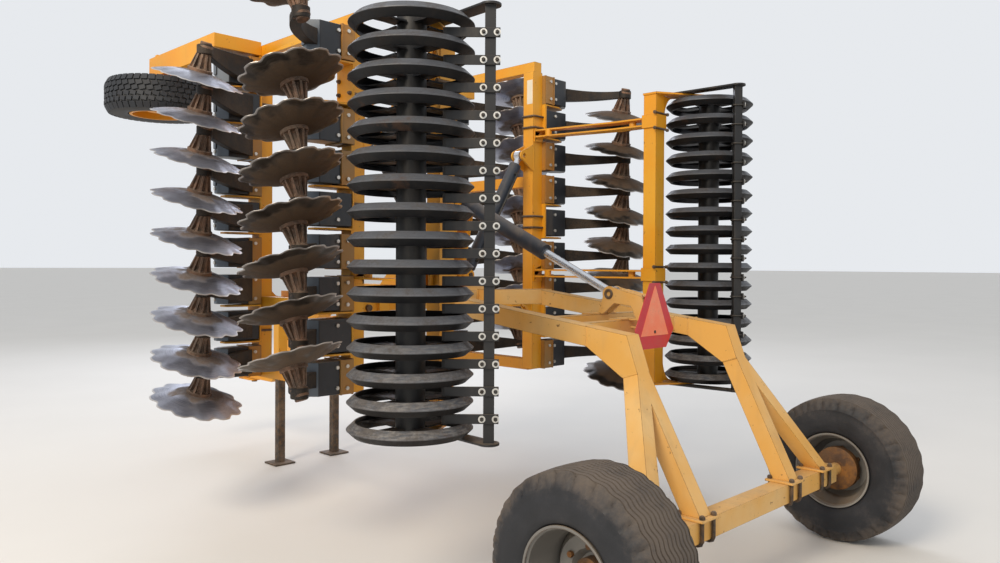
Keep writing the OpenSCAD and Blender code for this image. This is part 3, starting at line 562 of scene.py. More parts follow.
@dataclass(frozen=True)
class RoofRing:
    """Worn steel of the roller rings: rubbed bright on the ridge and earthy inside, with painted light: upper
    outer faces a lighter grey as a painted sky reflection, lower and inner faces left dark as painted shade.
    """

    name: str
    x: float
    y: float
    ridge: float
    bright: Colour = tone("8C8C8E")
    dark: Colour = tone("101216")
    soil: Colour = tone("4A4038")

    def material(self) -> bpy.types.Material:
        """Builds the steel; the ridge is found from the distance to the roller's axis."""
        shader = Shader(self.name)
        centred = shader.mapped(Location=(-self.x, -self.y, 0))
        across, deep = shader.axis("X", centred), shader.axis("Y", centred)
        radius = (across * across + deep * deep) ** 0.5
        cloud = shader.noise(8, 6, 0.65)
        fine = shader.noise(55, 5, 0.7, seed=4)
        scrape = shader.noise(20, 4, 0.6, (1, 1, 7), 6)
        outside = radius.step(self.ridge - 0.046, self.ridge - 0.038)
        # Faces that look up: this weight paints light on the rings below, and also lays the soil on top.
        upper = shader.upward().step(-0.35, 0.35)
        # The ridge: rubbed bare steel, weighted to its upper side as a painted highlight.
        rubbed = radius.step(self.ridge - 0.006, self.ridge - 0.001) * upper
        low = (shader.axis("Z") + cloud * 0.6).step(1.9, 0.9)
        # Painted light: outer faces that look up turn a lighter grey, a painted sky reflection; lower and
        # inner faces keep the dark colour as painted shade.
        colour = shader.tint(upper * outside * (0.5 + scrape * 0.5), self.dark, tone("66696F"))
        # Pale scrapes on the low rings, kept to faces that look up: streaky scrape marks with a painted
        # sheen.
        scraped_and_sheen = (scrape + cloud * 0.4).step(0.55, 0.85) * low * upper * outside
        colour = shader.tint(scraped_and_sheen * 0.75, colour, tone("9A948C"))
        colour = shader.tint(rubbed * (0.3 + scrape * 0.5), colour, self.bright)
        earth = (cloud * 0.8 + fine * 0.45 + low * 0.12).step(0.56, 0.84)
        colour = shader.tint(earth * (0.25 + upper * 0.4), colour, self.soil)
        rust = (shader.noise(5, 5, 0.6, seed=9) + fine * 0.2).step(0.7, 0.82)
        colour = shader.tint(rust * 0.4, colour, tone("5C3F2A"))
        rough = 0.46 - rubbed * 0.12 + earth * 0.3
        metal = 0.4 + rubbed * 0.35
        return shader.finish(colour, rough, metal, shader.bump(fine + scrape, 0.001, 0.3))


@dataclass(frozen=True)
class Sheeting:
    """Bright foil of the warning sign, with a fine cell pattern, fading and dust."""

    name: str
    colour: Colour
    faded: Colour
    roughness: float = 0.35

    def material(self) -> bpy.types.Material:
        """Builds the foil."""
        shader = Shader(self.name)
        cloud = shader.noise(9, 4, 0.6)
        fine = shader.noise(80, 4, 0.65)
        colour = shader.tint(cloud.step(0.35, 0.72), self.colour, self.faded)
        dusty = (cloud * 0.5 + fine * 0.6).step(0.55, 0.85) * 0.35
        colour = shader.tint(dusty, colour, tone("8B7A66"))
        relief = shader.bump(shader.cells(420), 0.0003, 0.4)
        return shader.finish(colour, self.roughness + dusty, relief=relief)


YELLOW = Paint("yellow_enamel", tone("DC9312"), tone("D99F2C"), tone("5E3B20"), dust_amount=0.22, wear=0.85)
# A paler, more worn copy of the yellow enamel for the carriage: partly faded paint, partly painted sunlight.
SUNLIT_PALE_YELLOW = Paint(
    "faded_enamel", tone("D9A350"), tone("DBB374"), tone("5E3B20"), dust_amount=0.28, wear=1.05, roughness=0.5
)
# A darker brown copy of the frame yellow for the seats and their cheeks: heavy dust, and painted shade where
# they sit in shadow.
DUSTY_SHADED_SEAT_PAINT = Paint("seat_enamel", tone("A87024"), tone("957442"), tone("4C3A2A"), dust_amount=0.5, wear=0.7)
LABEL = Paint("pale_label", tone("D9CDB4"), tone("E0D8C6"), tone("A89878"), dust_amount=0.4, wear=0.1)
# Black paint of the clamp boxes, with a painted sky sheen on the faces that look sideways.
BOX_BLACK = Paint(
    "box_black", tone("20242A"), tone("2E3238"), tone("4A423B"), dust_amount=0.35, wear=0.55, roughness=0.34,
    scour=0.75,
)
BAR_BLACK = Paint("bar_black", tone("141517"), tone("1E1E1F"), tone("4A4037"), dust_amount=0.22, wear=0.6)
BARREL = Paint("barrel_enamel", tone("1F2733"), tone("2B3542"), tone("5A524B"), dust_amount=0.3, wear=0.3)
SILVER = Paint(
    "rim_silver", tone("75736F"), tone("918D86"), tone("4A3626"), dust_amount=0.6, wear=0.8, metallic=0.3
)
# The front discs get little painted fold shade; the rear discs keep the default.
FRONT_DISC = DiscSteel("front_disc_steel", tone("B2B4C0"), tone("6C6E78"), tone("66584D"), 0.4, crease=0.05)
REAR_DISC = DiscSteel("rear_disc_steel", tone("6A625A"), tone("2A2623"), tone("54412F"), 0.06, 0.7)
HUB_IRON = Iron("hub_iron", tone("493A31"), tone("876650"), tone("8B7968"), tone("BBA896"))
ARM_IRON = Iron("arm_iron", tone("1D1C1C"), tone("33291F"), tone("554739"), tone("8C8176"), 0.4)
DRUM_RUST = Iron(
    "drum_rust", tone("4A3220"), tone("8A5A22"), tone("5F4A38"), tone("A87B3C"), 0.4, metallic=0.1
)
CLAMP_IRON = Iron("clamp_iron", tone("3A3632"), tone("6B5238"), tone("77685A"), tone("9C9186"), 0.5, scale=30)
ZINC = Plated("zinc", tone("D8D6D0"), tone("6D6358"), 0.38, 0.35)
CHROME = Plated("chrome", tone("D2D6DC"), tone("6E6A66"), 0.2, 0.12)
NUT_STEEL = Plated("nut_steel", tone("4B4946"), tone("3A2E25"), 0.45, 0.7)
TYRE = Rubber("tyre_rubber")
FIELD_TYRE = Rubber("field_rubber", wall=tone("23272D"), dust=tone("4A4A4A"))
SIGN_CENTRE = Sheeting("sign_centre", tone("EE7A55"), tone("EE8F6C"))
SIGN_BORDER = Sheeting("sign_border", tone("C4262E"), tone("BC3038"), 0.28)


@cache
def material_of(finish: Finish) -> bpy.types.Material:
    """Gives a finish's material, which is built the first time."""
    return finish.material()


class Shape:
    """Gathers closed shells into the mesh of one piece."""

    SWEEP = "sweep"

    def __init__(self) -> None:
        """Starts an empty mesh with sweep coordinates."""
        self.mesh = bmesh.new()
        self.sweep = self.mesh.loops.layers.uv.new(self.SWEEP)

    def shell(
        self, corners: Iterable[Point3], faces: Iterable[Sequence[int]], place: Matrix | None = None,
        sweep: Sequence[Sequence[Point2]] | None = None,
    ) -> None:
        """Adds a closed shell and turns its faces outwards.

        Args:
            corners: The places of its corners.
            faces: The corners of each face.
            place: Where the shell goes.
            sweep: The sweep coordinates of each face's corners.
        """
        place = place or Matrix.Identity(4)
        made = [self.mesh.verts.new(place @ Vector(corner)) for corner in corners]
        new = []
        for number, face in enumerate(faces):
            item = self.mesh.faces.new([made[i] for i in face])
            if sweep:
                for loop, where in zip(item.loops, sweep[number]):
                    loop[self.sweep].uv = where
            new.append(item)
        bmesh.ops.recalc_face_normals(self.mesh, faces=new)

    def prism(self, outline: Sequence[Point2], low: float, high: float, place: Matrix | None = None) -> None:
        """Adds a plate: an outline in X and Y, from low to high along Z."""
        self.plate(outline, lambda x: (low, high), place)

    def plate(
        self, outline: Sequence[Point2], heights: Callable[[float], Point2], place: Matrix | None = None
    ) -> None:
        """Adds a plate whose two faces change their heights along X."""
        count = len(outline)
        corners = [(x, y, heights(x)[face]) for face in (0, 1) for x, y in outline]
        sides = [(i, (i + 1) % count, count + (i + 1) % count, count + i) for i in range(count)]
        self.shell(corners, [tuple(range(count)), tuple(range(count, 2 * count)), *sides], place)

    def box(self, low: Point3, high: Point3, place: Matrix | None = None) -> None:
        """Adds a box from its lowest to its highest corner."""
        outline = [(low[0], low[1]), (high[0], low[1]), (high[0], high[1]), (low[0], high[1])]
        self.prism(outline, low[2], high[2], place)

    def lathe(
        self, profile: Sequence[Point2], steps: int, place: Matrix | None = None,
        bend: Callable[[float, float, float], Point2] | None = None, marks: Sequence[float] | None = None,
    ) -> None:
        """Turns a closed profile round Z; a profile that starts and ends on the axis is closed there.

        Args:
            profile: Radius and height of its points.
            steps: Faces in a full turn.
            place: Where the shape goes.
            bend: Moves a point, from its radius, height and turn.
            marks: The sweep coordinate of each point of the profile, evenly spread where left out.
        """
        last = len(profile) - 1
        marks = marks or [number / last for number in range(last + 2)]
        capped = int(profile[0][0] == 0)
        inner = profile[capped : last + 1 - capped]
        size = len(inner)
        corners: list[Point3] = []
        for turn in turns(steps):
            for radius, height in inner:
                if bend:
                    radius, height = bend(radius, height, turn)
                corners.append((*around(turn, radius), height))
        faces, sweep = [], []
        for step in range(steps):
            here, there = step * size, (step + 1) % steps * size
            now, then = step / steps, (step + 1) / steps
            for i in range(size - capped):
                j = (i + 1) % size
                u, v = marks[capped + i], marks[capped + i + 1]
                faces.append((here + i, there + i, there + j, here + j))
                sweep.append([(u, now), (u, then), (v, then), (v, now)])
            if capped:
                start = steps * size
                faces.append((start, there, here))
                sweep.append([(marks[0], now), (marks[1], then), (marks[1], now)])
                faces.append((start + 1, here + size - 1, there + size - 1))
                sweep.append([(marks[last], now), (marks[last - 1], now), (marks[last - 1], then)])
        if capped:
            corners += [(0, 0, profile[0][1]), (0, 0, profile[-1][1])]
        self.shell(corners, faces, place, sweep)

    def tube(
        self, path: Sequence[Point3 | Vector], radius: float, sides: int, place: Matrix | None = None
    ) -> None:
        """Adds a round bar that follows a path."""
        points = [Vector(p) for p in path]
        corners: list[Point3] = []
        side = Vector((0, 0, 1))
        for i, point in enumerate(points):
            ahead = (points[min(i + 1, len(points) - 1)] - points[max(i - 1, 0)]).normalized()
            across = ahead.cross(side)
            if across.length < 0.05:
                across = ahead.orthogonal()
            across.normalize()
            side = across.cross(ahead).normalized()
            for turn in turns(sides):
                corners.append(tuple(point + radius * (math.cos(turn) * across + math.sin(turn) * side)))
        last = (len(points) - 1) * sides
        faces = [
            (i + k, i + (k + 1) % sides, i + sides + (k + 1) % sides, i + sides + k)
            for i in range(0, last, sides)
            for k in range(sides)
        ]
        ends = [tuple(range(sides)), tuple(range(last, last + sides))]
        self.shell(corners, [*faces, *ends], place)

    def stamp(self, template: bpy.types.Mesh, place: Matrix = Matrix.Identity(4)) -> None:
        """Adds a copy of a mesh, turned right side out where the place mirrors it."""
        first, first_face = len(self.mesh.verts), len(self.mesh.faces)
        self.mesh.from_mesh(template)
        self.mesh.verts.ensure_lookup_table()
        self.mesh.faces.ensure_lookup_table()
        bmesh.ops.transform(self.mesh, matrix=place, verts=self.mesh.verts[first:])
        if place.determinant() < 0:
            bmesh.ops.reverse_faces(self.mesh, faces=self.mesh.faces[first_face:])

    def to_mesh(self, name: str) -> bpy.types.Mesh:
        """Closes the gathering and gives the mesh."""
        mesh = bpy.data.meshes.new(name)
        self.mesh.to_mesh(mesh)
        self.mesh.free()
        return mesh

    def piece(self, name: str, finish: Finish, smooth: float = 35, bevel: float = 0) -> bpy.types.Object:
        """Makes the piece's object.

        Args:
            name: The piece's name.
            finish: Its finish.
            smooth: Edges under this angle, in degrees, are shaded smooth.
            bevel: Width of the rounding of its sharp edges, or 0.

        Returns:
            The object, at the origin.
        """
        return new_piece(name, self.to_mesh(name), finish, smooth, bevel)


def new_piece(
    name: str, mesh: bpy.types.Mesh, finish: Finish, smooth: float = 35, bevel: float = 0
) -> bpy.types.Object:
    """Puts a mesh into the scene as a piece with its finish, smooth faces and rounded edges."""
    mesh.materials.clear()
    mesh.materials.append(material_of(finish))
    mesh.shade_smooth()
    mesh.set_sharp_from_angle(angle=math.radians(smooth))
    piece = bpy.data.objects.new(name, mesh)
    bpy.context.scene.collection.objects.link(piece)
    if bevel:
        rounding = piece.modifiers.new("rounding", "BEVEL")
        rounding.width = bevel
        rounding.segments = 2
        rounding.limit_method = "ANGLE"
        rounding.angle_limit = BEVEL_ANGLE
        rounding.harden_normals = True
    return piece


def settle(piece: bpy.types.Object, body: str, *nodes: str) -> None:
    """Lets a piece ride on its body and stand for the nodes it replaces, and reports it."""
    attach(piece, body)
    if nodes:
        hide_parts(*nodes)
    log.info("%s rides on %s, %d faces", piece.name, body, len(piece.data.polygons))


class Repeater(Tree):
    """A Geometry Nodes tree with named inputs, whose result is realized and given its material."""

    def __init__(self, name: str, inputs: dict[str, tuple[str, Any]]) -> None:
        """Starts the tree.

        Args:
            name: The tree's name.
            inputs: The type and first value of each input, by name.
        """
        group = bpy.data.node_groups.new(name, "GeometryNodeTree")
        super().__init__(group)
        face = group.interface
        face.new_socket("Geometry", in_out="INPUT", socket_type="NodeSocketGeometry")
        for title, (kind, value) in {**inputs, "Material": ("NodeSocketMaterial", None)}.items():
            socket = face.new_socket(title, in_out="INPUT", socket_type=kind)
            if value is not None:
                socket.default_value = value
        face.new_socket("Geometry", in_out="OUTPUT", socket_type="NodeSocketGeometry")
        self.source = self.node("NodeGroupInput")

    def given(self, name: str) -> bpy.types.NodeSocket:
        """The value of one of the tree's inputs."""
        return self.source.outputs[name]

    def close(self, geometry: bpy.types.NodeSocket) -> Repeater:
        """Ends the tree: the instances become real and get the material."""
        real = self.flow("GeometryNodeRealizeInstances", {0: geometry})
        dressed = self.flow("GeometryNodeSetMaterial", {"Geometry": real, "Material": self.given("Material")})
        self.node("NodeGroupOutput", {0: dressed})
        return self

    def strew(self, points: bpy.types.NodeSocket, copy: bpy.types.NodeSocket, **sockets: Any) -> Repeater:
        """Ends the tree with a copy on each point."""
        copies = self.flow("GeometryNodeInstanceOnPoints", {"Points": points, "Instance": copy, **sockets})
        return self.close(copies)

    def grow(self, name: str, mesh: bpy.types.Mesh, finish: Finish, **values: Any) -> bpy.types.Mesh:
        """Runs the tree on a mesh.

        Args:
            name: The name of the result.
            mesh: The mesh that is repeated, or the points that are filled.
            finish: The finish of the result.
            **values: The tree's inputs.

        Returns:
            The result as a plain mesh.
        """
        carrier = bpy.data.objects.new(name, mesh)
        bpy.context.scene.collection.objects.link(carrier)
        modifier = carrier.modifiers.new(name, "NODES")
        modifier.node_group = self.tree
        wanted = {**values, "Material": material_of(finish)}
        for item in self.tree.interface.items_tree:
            if item.item_type == "SOCKET" and item.in_out == "INPUT" and item.name in wanted:
                modifier[item.identifier] = wanted[item.name]
        seen = carrier.evaluated_get(bpy.context.evaluated_depsgraph_get())
        result = bpy.data.meshes.new_from_object(seen)
        bpy.data.objects.remove(carrier)
        return result


class Repeats:
    """The Geometry Nodes trees of the machine, each built once."""

    def __init__(self) -> None:
        """Builds the trees."""
        self.around = self._around()
        self.along = self._along()
        self.studs = self._studs()
        self.welds = self._welds()

    @staticmethod
    def _around() -> Repeater:
        """Repeats a mesh round Z, a number of times in a full turn."""
        tree = Repeater("around", {"Count": ("NodeSocketInt", 8)})
        line = tree.flow("GeometryNodeMeshLine", {"Count": tree.given("Count"), "Offset": (0, 0, 0)})
        index = tree.flow("GeometryNodeInputIndex")
        share = tree.flow("ShaderNodeMath", {0: index, 1: tree.given("Count")}, operation="DIVIDE")
        turn = tree.flow("ShaderNodeMath", {0: share, 1: FULL_TURN}, operation="MULTIPLY")
        spin = tree.flow("ShaderNodeCombineXYZ", {2: turn})
        return tree.strew(line, tree.given("Geometry"), Rotation=spin)

    @staticmethod
    def _along() -> Repeater:
        """Repeats a mesh a number of times, each copy a step further."""
        tree = Repeater("along", {"Count": ("NodeSocketInt", 2), "Step": ("NodeSocketVector", (0, 0, 0.1))})
        line = tree.flow("GeometryNodeMeshLine", {"Count": tree.given("Count"), "Offset": tree.given("Step")})
        return tree.strew(line, tree.given("Geometry"))

    @staticmethod
    def _studs() -> Repeater:
        """Stands a prism, such as a nut or a washer, on each point, along the point's aim."""
        tree = Repeater("studs", {
            "Sides": ("NodeSocketInt", 6), "Radius": ("NodeSocketFloat", 0.012),
            "Height": ("NodeSocketFloat", 0.01), "Seed": ("NodeSocketInt", 1),
        })
        sides, radius, height = (tree.given(name) for name in ("Sides", "Radius", "Height"))
        prism = tree.flow("GeometryNodeMeshCylinder", {"Vertices": sides, "Radius": radius, "Depth": height})
        half = tree.flow("ShaderNodeMath", {0: height, 1: 0.5}, operation="MULTIPLY")
        lift = tree.flow("ShaderNodeCombineXYZ", {2: half})
        stood = tree.flow("GeometryNodeTransform", {0: prism, "Translation": lift})
        aim = tree.flow("GeometryNodeInputNamedAttribute", {"Name": Points.AIM}, data_type="FLOAT_VECTOR")
        chance = {"Seed": tree.given("Seed"), 3: 3.1}
        spin = tree.flow("FunctionNodeRandomValue", chance, 1, data_type="FLOAT")
        first = tree.flow("FunctionNodeAxisAngleToRotation", {"Axis": (0, 0, 1), "Angle": spin})
        aimed = tree.flow("FunctionNodeAlignRotationToVector", {"Rotation": first, "Vector": aim}, axis="Z")
        return tree.strew(tree.given("Geometry"), stood, Rotation=aimed)

    @staticmethod
    def _welds() -> Repeater:
        """Lays a weld along each edge of the mesh: a bead whose thickness changes at random."""
        tree = Repeater("welds", {
            "Spacing": ("NodeSocketFloat", 0.008), "Radius": ("NodeSocketFloat", 0.0045),
            "Unevenness": ("NodeSocketFloat", 0.25), "Seed": ("NodeSocketInt", 3),
        })
        line = tree.flow("GeometryNodeMeshToCurve", {0: tree.given("Geometry")})
        spacing = {"Curve": line, "Length": tree.given("Spacing")}
        steps = tree.flow("GeometryNodeResampleCurve", spacing, mode="LENGTH")
        least = tree.flow("ShaderNodeMath", {0: 1.0, 1: tree.given("Unevenness")}, operation="SUBTRACT")
        thickness = {"Seed": tree.given("Seed"), 2: least, 3: 1.1}
        width = tree.flow("FunctionNodeRandomValue", thickness, 1, data_type="FLOAT")
        uneven = tree.flow("GeometryNodeSetCurveRadius", {"Curve": steps, "Radius": width})
        circle = {"Resolution": 6, "Radius": tree.given("Radius")}
        section = tree.flow("GeometryNodeCurvePrimitiveCircle", circle)
        bead = {"Curve": uneven, "Profile Curve": section, "Fill Caps": True}
        return tree.close(tree.flow("GeometryNodeCurveToMesh", bead))

    def stud_piece(
        self, name: str, points: Points, finish: Finish, body: str, bevel: float = 0, lift: float = 0,
        **sizes: Any,
    ) -> None:
        """Makes one piece of the studs on all points.

        Args:
            name: The piece's name.
            points: Where the studs stand.
            finish: Their finish.
            body: The body that they ride on.
            bevel: Width of the rounding of their edges, or 0.
            lift: How far they stand above their points.
            **sizes: The inputs of the studs' tree.
        """
        mesh = self.studs.grow(name, points.mesh(name, lift), finish, **sizes)
        settle(new_piece(name, mesh, finish, 30, bevel), body)


class Points:
    """Points with the direction that a stud on each of them looks in."""

    AIM = "aim"

    def __init__(self) -> None:
        """Starts without points."""
        self.places: list[Vector] = []
        self.aims: list[Vector] = []

    def add(self, place: Point3 | Vector, aim: Point3 | Vector, turn: Matrix | None = None) -> None:
        """Adds a point and its aim, both moved by a matrix."""
        turn = turn or Matrix.Identity(4)
        self.places.append(turn @ Vector(place))
        self.aims.append((turn.to_3x3() @ Vector(aim)).normalized())

    def mesh(self, name: str, lift: float = 0) -> bpy.types.Mesh:
        """Gives the points as a mesh, lifted along their aims."""
        mesh = bpy.data.meshes.new(name)
        mesh.from_pydata([p + a * lift for p, a in zip(self.places, self.aims)], [], [])
        stored = mesh.attributes.new(self.AIM, "FLOAT_VECTOR", "POINT")
        stored.data.foreach_set("vector", [c for a in self.aims for c in a])
        return mesh


def merged(solid: bpy.types.Object, shift: Callable[[Vector], Vector] | None = None) -> bmesh.types.BMesh:
    """Copies a solid, makes its flat faces whole again and moves its corners.

    Args:
        solid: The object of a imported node.
        shift: Moves a corner of the copy.

    Returns:
        The copy, which the caller frees.
    """
    copy = bmesh.new()
    copy.from_mesh(solid.data)
    bmesh.ops.remove_doubles(copy, verts=copy.verts, dist=MERGE_DISTANCE)
    bmesh.ops.dissolve_limit(copy, angle_limit=FLAT_ANGLE, verts=copy.verts, edges=copy.edges)
    if shift:
        for vertex in copy.verts:
            vertex.co = shift(vertex.co)
    return copy


def rounded(
    node: str, finish: Finish, frame: dict[str, Any], width: float = 0.005,
    shift: Callable[[Vector], Vector] | None = None,
) -> None:
    """Replaces a node by a copy of itself with rounded edges, riding on the node's body.

    Args:
        node: The node.
        finish: The finish of the copy.
        width: Width of the rounding.
        shift: Moves a corner of the copy.
    """
    solid = frame["nodes"][node]
    copy = merged(solid, shift)
    mesh = bpy.data.meshes.new(node)
    copy.to_mesh(mesh)
    copy.free()
    settle(new_piece("dressed_" + node, mesh, finish, 30, width), solid["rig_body"], node)


@dataclass
class SidePart:
    """What the sub-assemblies of one side share; their pieces, bodies and nodes end in the side's word."""

    layout: Layout
    repeats: Repeats
    frame: dict[str, Any]
    side: Side

    def named(self, stem: str) -> str:
        """The name that a piece, body or node has on this side."""
        return self.side.named(stem)

    def dress(
        self, shape: Shape, stem: str, finish: Finish, body: str, node: str | None = None,
        smooth: float = 30, bevel: float = 0,
    ) -> None:
        """Settles a shape as a piece of this side.

        Args:
            shape: The shape.
            stem: The piece's name without the side.
            finish: Its finish.
            body: The body that it rides on, without the side.
            node: The node that it replaces, without the side.
            smooth: Edges under this angle, in degrees, are shaded smooth.
            bevel: Width of the rounding of its sharp edges, or 0.
        """
        nodes = [self.named(node)] if node else []
        settle(shape.piece(self.named(stem), finish, smooth, bevel), self.named(body), *nodes)

    def stud(
        self, points: Points, stem: str, finish: Finish, body: str, bevel: float = 0, lift: float = 0,
        **sizes: Any,
    ) -> None:
        """Settles studs on all points as a piece of this side, as Repeats.stud_piece() does."""
        self.repeats.stud_piece(self.named(stem), points, finish, self.named(body), bevel, lift, **sizes)


@dataclass(frozen=True)
class ArmForm:
    """How a row's arms run from the clamp box to the hub, measured out from the beam and back."""

    start: Point2
    bend: Point2
    root: float
    tip: float
    thick: float
    swell: float


ARM_FORMS = {
    Row.FRONT: ArmForm((0.135, -0.057), (0.425, -0.215), 0.168, 0.042, 0.034, 1.3),
    Row.REAR: ArmForm((0.288, -0.02), (0.555, -0.14), 0.098, 0.042, 0.038, 1.0),
}


@dataclass
class DiscUnits(SidePart):
    """The discs, hubs and arms of one row of one wing."""

    row: Row
    diameter: float = 0.56
    thickness: float = 0.006
    dish: float = 0.06
    flat: float = 0.08
    notches: int = 12
    notch_depth: float = 0.026
    gang_angle: float = math.radians(18)
    tilt: float = math.radians(5)
    spin: float = 0.9
    drop: float = 0.615
    back: float = 0.4
    hub_from: float = 0.025
    hub_height: float = 0.115
    flange: float = 0.15
    neck: float = 0.085
    ribs: int = 10
    ripple: float = 0.0045
    ripple_from: float = 0.65
    notch_from: float = 0.8
    edge_from: float = 0.96
    edge_thickness: float = 0.35
    steps_per_notch: int = 10
    bolts: int = 5
    cap_ring: float = 0.049
    flange_ring: float = 0.063
    arm_steps: int = 14
    arm_narrowing: float = 0.009

    def frames(self) -> list[Matrix]:
        """Where each unit's hub stands, its axis along Z and the dish opening upward."""
        opens = self.side.value * self.row.value
        turn = Matrix.Rotation(-opens * self.gang_angle, 4, "X") @ Matrix.Rotation(opens * self.tilt, 4, "Y")
        flip = Matrix.Diagonal((1, 1, opens, 1))
        places = []
        for index in self.layout.units(self.side, self.row):
            hub = self.layout.unit_place(self.side, self.row, index, self.drop, self.back)
            places.append(hub @ turn @ flip @ Matrix.Rotation(index * self.spin, 4, "Z"))
        return places

    def rim(self, turn: float) -> float:
        """The radius of the blade at a turn, with its worn notches."""
        wave = 0.5 + 0.5 * math.cos(self.notches * turn)
        return self.diameter / 2 - self.notch_depth * wave ** 1.7

    def depth(self, radius: float) -> float:
        """The depth of the dish at a radius."""
        share = max(0.0, radius - self.flat) / (self.diameter / 2 - self.flat)
        return self.dish * (0.6 * share * share + 0.4 * share)

    def blade(self) -> bpy.types.Mesh:
        """The mesh of one blade, from its middle to the sharpened rim, with both faces."""
        full = self.diameter / 2
        shares = [r / full for r in (0.03, 0.06, 0.085, 0.12, 0.16, 0.2, 0.235, 0.258)] + [0.965, 1.0]
        base = self.hub_from + self.hub_height
        lower = [(share, base) for share in shares]
        upper = [
            (share, base + self.thickness * (1 if share < self.edge_from else self.edge_thickness))
            for share in reversed(shares)
        ]

        def bend(share: float, height: float, turn: float) -> Point2:
            """Cuts the notches, deepens the dish and ripples it towards its rim."""
            radius = share * (self.rim(turn) if share > self.notch_from else full)
            outward = max(0.0, share - self.ripple_from) / (1 - self.ripple_from)
            fold = self.ripple * outward * math.cos(self.notches * turn)
            return radius, height + self.depth(radius) + fold

        shape = Shape()
        profile = [(0, base), *lower, *upper, (0, base + self.thickness)]
        steps = self.notches * self.steps_per_notch
        shape.lathe(profile, steps, bend=bend, marks=[share for share, _ in profile])
        return shape.to_mesh("blade")

    def hub(self) -> bpy.types.Mesh:
        """The mesh of one hub: collar, cone, ribs and flange, and the cap inside the dish."""
        collar = self.hub_from
        top = collar + self.hub_height
        above = top + self.thickness
        neck, flange = self.neck / 2, self.flange / 2
        shape, rib = Shape(), Shape()
        shape.lathe([
            (0, -collar), (neck + 0.002, -collar), (neck + 0.004, -collar + 0.004),
            (neck + 0.004, collar - 0.006), (neck - 0.004, collar), (neck - 0.008, collar + 0.01),
            (flange - 0.037, top - 0.034), (flange - 0.026, top - 0.02), (flange - 0.002, top - 0.019),
            (flange, top - 0.017), (flange, top), (0, top),
        ], 32)
        shape.lathe([
            (0, -collar - 0.022), (neck - 0.012, -collar - 0.022), (neck - 0.008, -collar - 0.018),
            (neck - 0.008, -collar + 0.001), (0, -collar + 0.001),
        ], 24)
        shape.lathe([
            (0, above - 0.001), (0.062, above - 0.001), (0.062, above + 0.008), (0.03, above + 0.012),
            (0.026, above + 0.024), (0, above + 0.024),
        ], 24)
        rib.prism([
            (0.02, collar + 0.002), (neck + 0.001, collar + 0.002), (flange - 0.006, top - 0.012),
            (0.02, top - 0.012),
        ], -0.0055, 0.0055, Matrix.Rotation(QUARTER_TURN, 4, "X"))
        ribs = self.repeats.around.grow("hub_ribs", rib.to_mesh("rib"), HUB_IRON, Count=self.ribs)
        shape.stamp(ribs)
        bolts = Points()
        for number in range(self.bolts):
            turn = FULL_TURN * (number + 0.3) / self.bolts
            bolts.add((*around(turn, self.cap_ring), above + 0.007), (0, 0, 1))
            bolts.add((*around(turn, self.flange_ring), top - 0.012), (0, 0, -1))
        mesh = bolts.mesh("hub_bolts")
        shape.stamp(self.repeats.studs.grow("hub_bolts", mesh, HUB_IRON, Radius=0.009, Height=0.008))
        return shape.to_mesh("hub")

    def arm(self) -> bpy.types.Mesh:
        """The mesh of one arm: a wedge that is high at the clamp box and low at the hub."""
        form = ARM_FORMS[self.row]
        start, middle, end = form.start, form.bend, (self.drop, -self.back)

        def centre(t: float) -> Vector:
            """The middle of the bar along its length."""
            weights = ((1 - t) ** 2, 2 * t * (1 - t), t * t)
            return Vector([sum(w * p[i] for w, p in zip(weights, (start, middle, end))) for i in (0, 1)])

        def edge(t: float, way: int) -> Point2:
            """One edge of the bar."""
            ahead = (centre(min(1, t + 0.01)) - centre(max(0, t - 0.01))).normalized()
            place = centre(t) + way * (form.thick - self.arm_narrowing * t) * Vector((-ahead.y, ahead.x))
            return place.x, place.y

        def half_height(x: float) -> float:
            """Half the height of the bar at a distance from the beam."""
            share = max(0.0, (x - start[0]) / (self.drop + 0.03 - start[0])) ** form.swell
            return (form.root + (form.tip - form.root) * share) / 2

        steps = [i / self.arm_steps for i in range(self.arm_steps + 1)]
        outline = [*(edge(t, 1) for t in steps), *(edge(t, -1) for t in reversed(steps))]
        shape = Shape()
        shape.plate(outline, lambda x: (-half_height(x), half_height(x)))
        knuckle = [(0, -0.034), (0.044, -0.034), (0.048, -0.03), (0.048, 0.026), (0, 0.026)]
        shape.lathe(knuckle, 28, Matrix.Translation((self.drop, -self.back, 0)))
        return shape.to_mesh("arm")

    def build(self) -> None:
        """Builds the row's blades, hubs and arms."""
        blade, hub, arm = self.blade(), self.hub(), self.arm()
        blades, hubs, arms = Shape(), Shape(), Shape()
        for frame in self.frames():
            blades.stamp(blade, frame)
            hubs.stamp(hub, frame)
        for index in self.layout.units(self.side, self.row):
            arms.stamp(arm, self.layout.unit_place(self.side, self.row, index))
        finish = FRONT_DISC if self.row is Row.FRONT else REAR_DISC
        row = self.row.word
        self.dress(blades, "blades_" + row, finish, "wing", "discs_" + row, 40)
        self.dress(hubs, "hubs_" + row, HUB_IRON, "wing", "disc_arms", 32)
        self.dress(arms, "arms_" + row, ARM_IRON, "wing", "disc_arms", 32, 0.003)


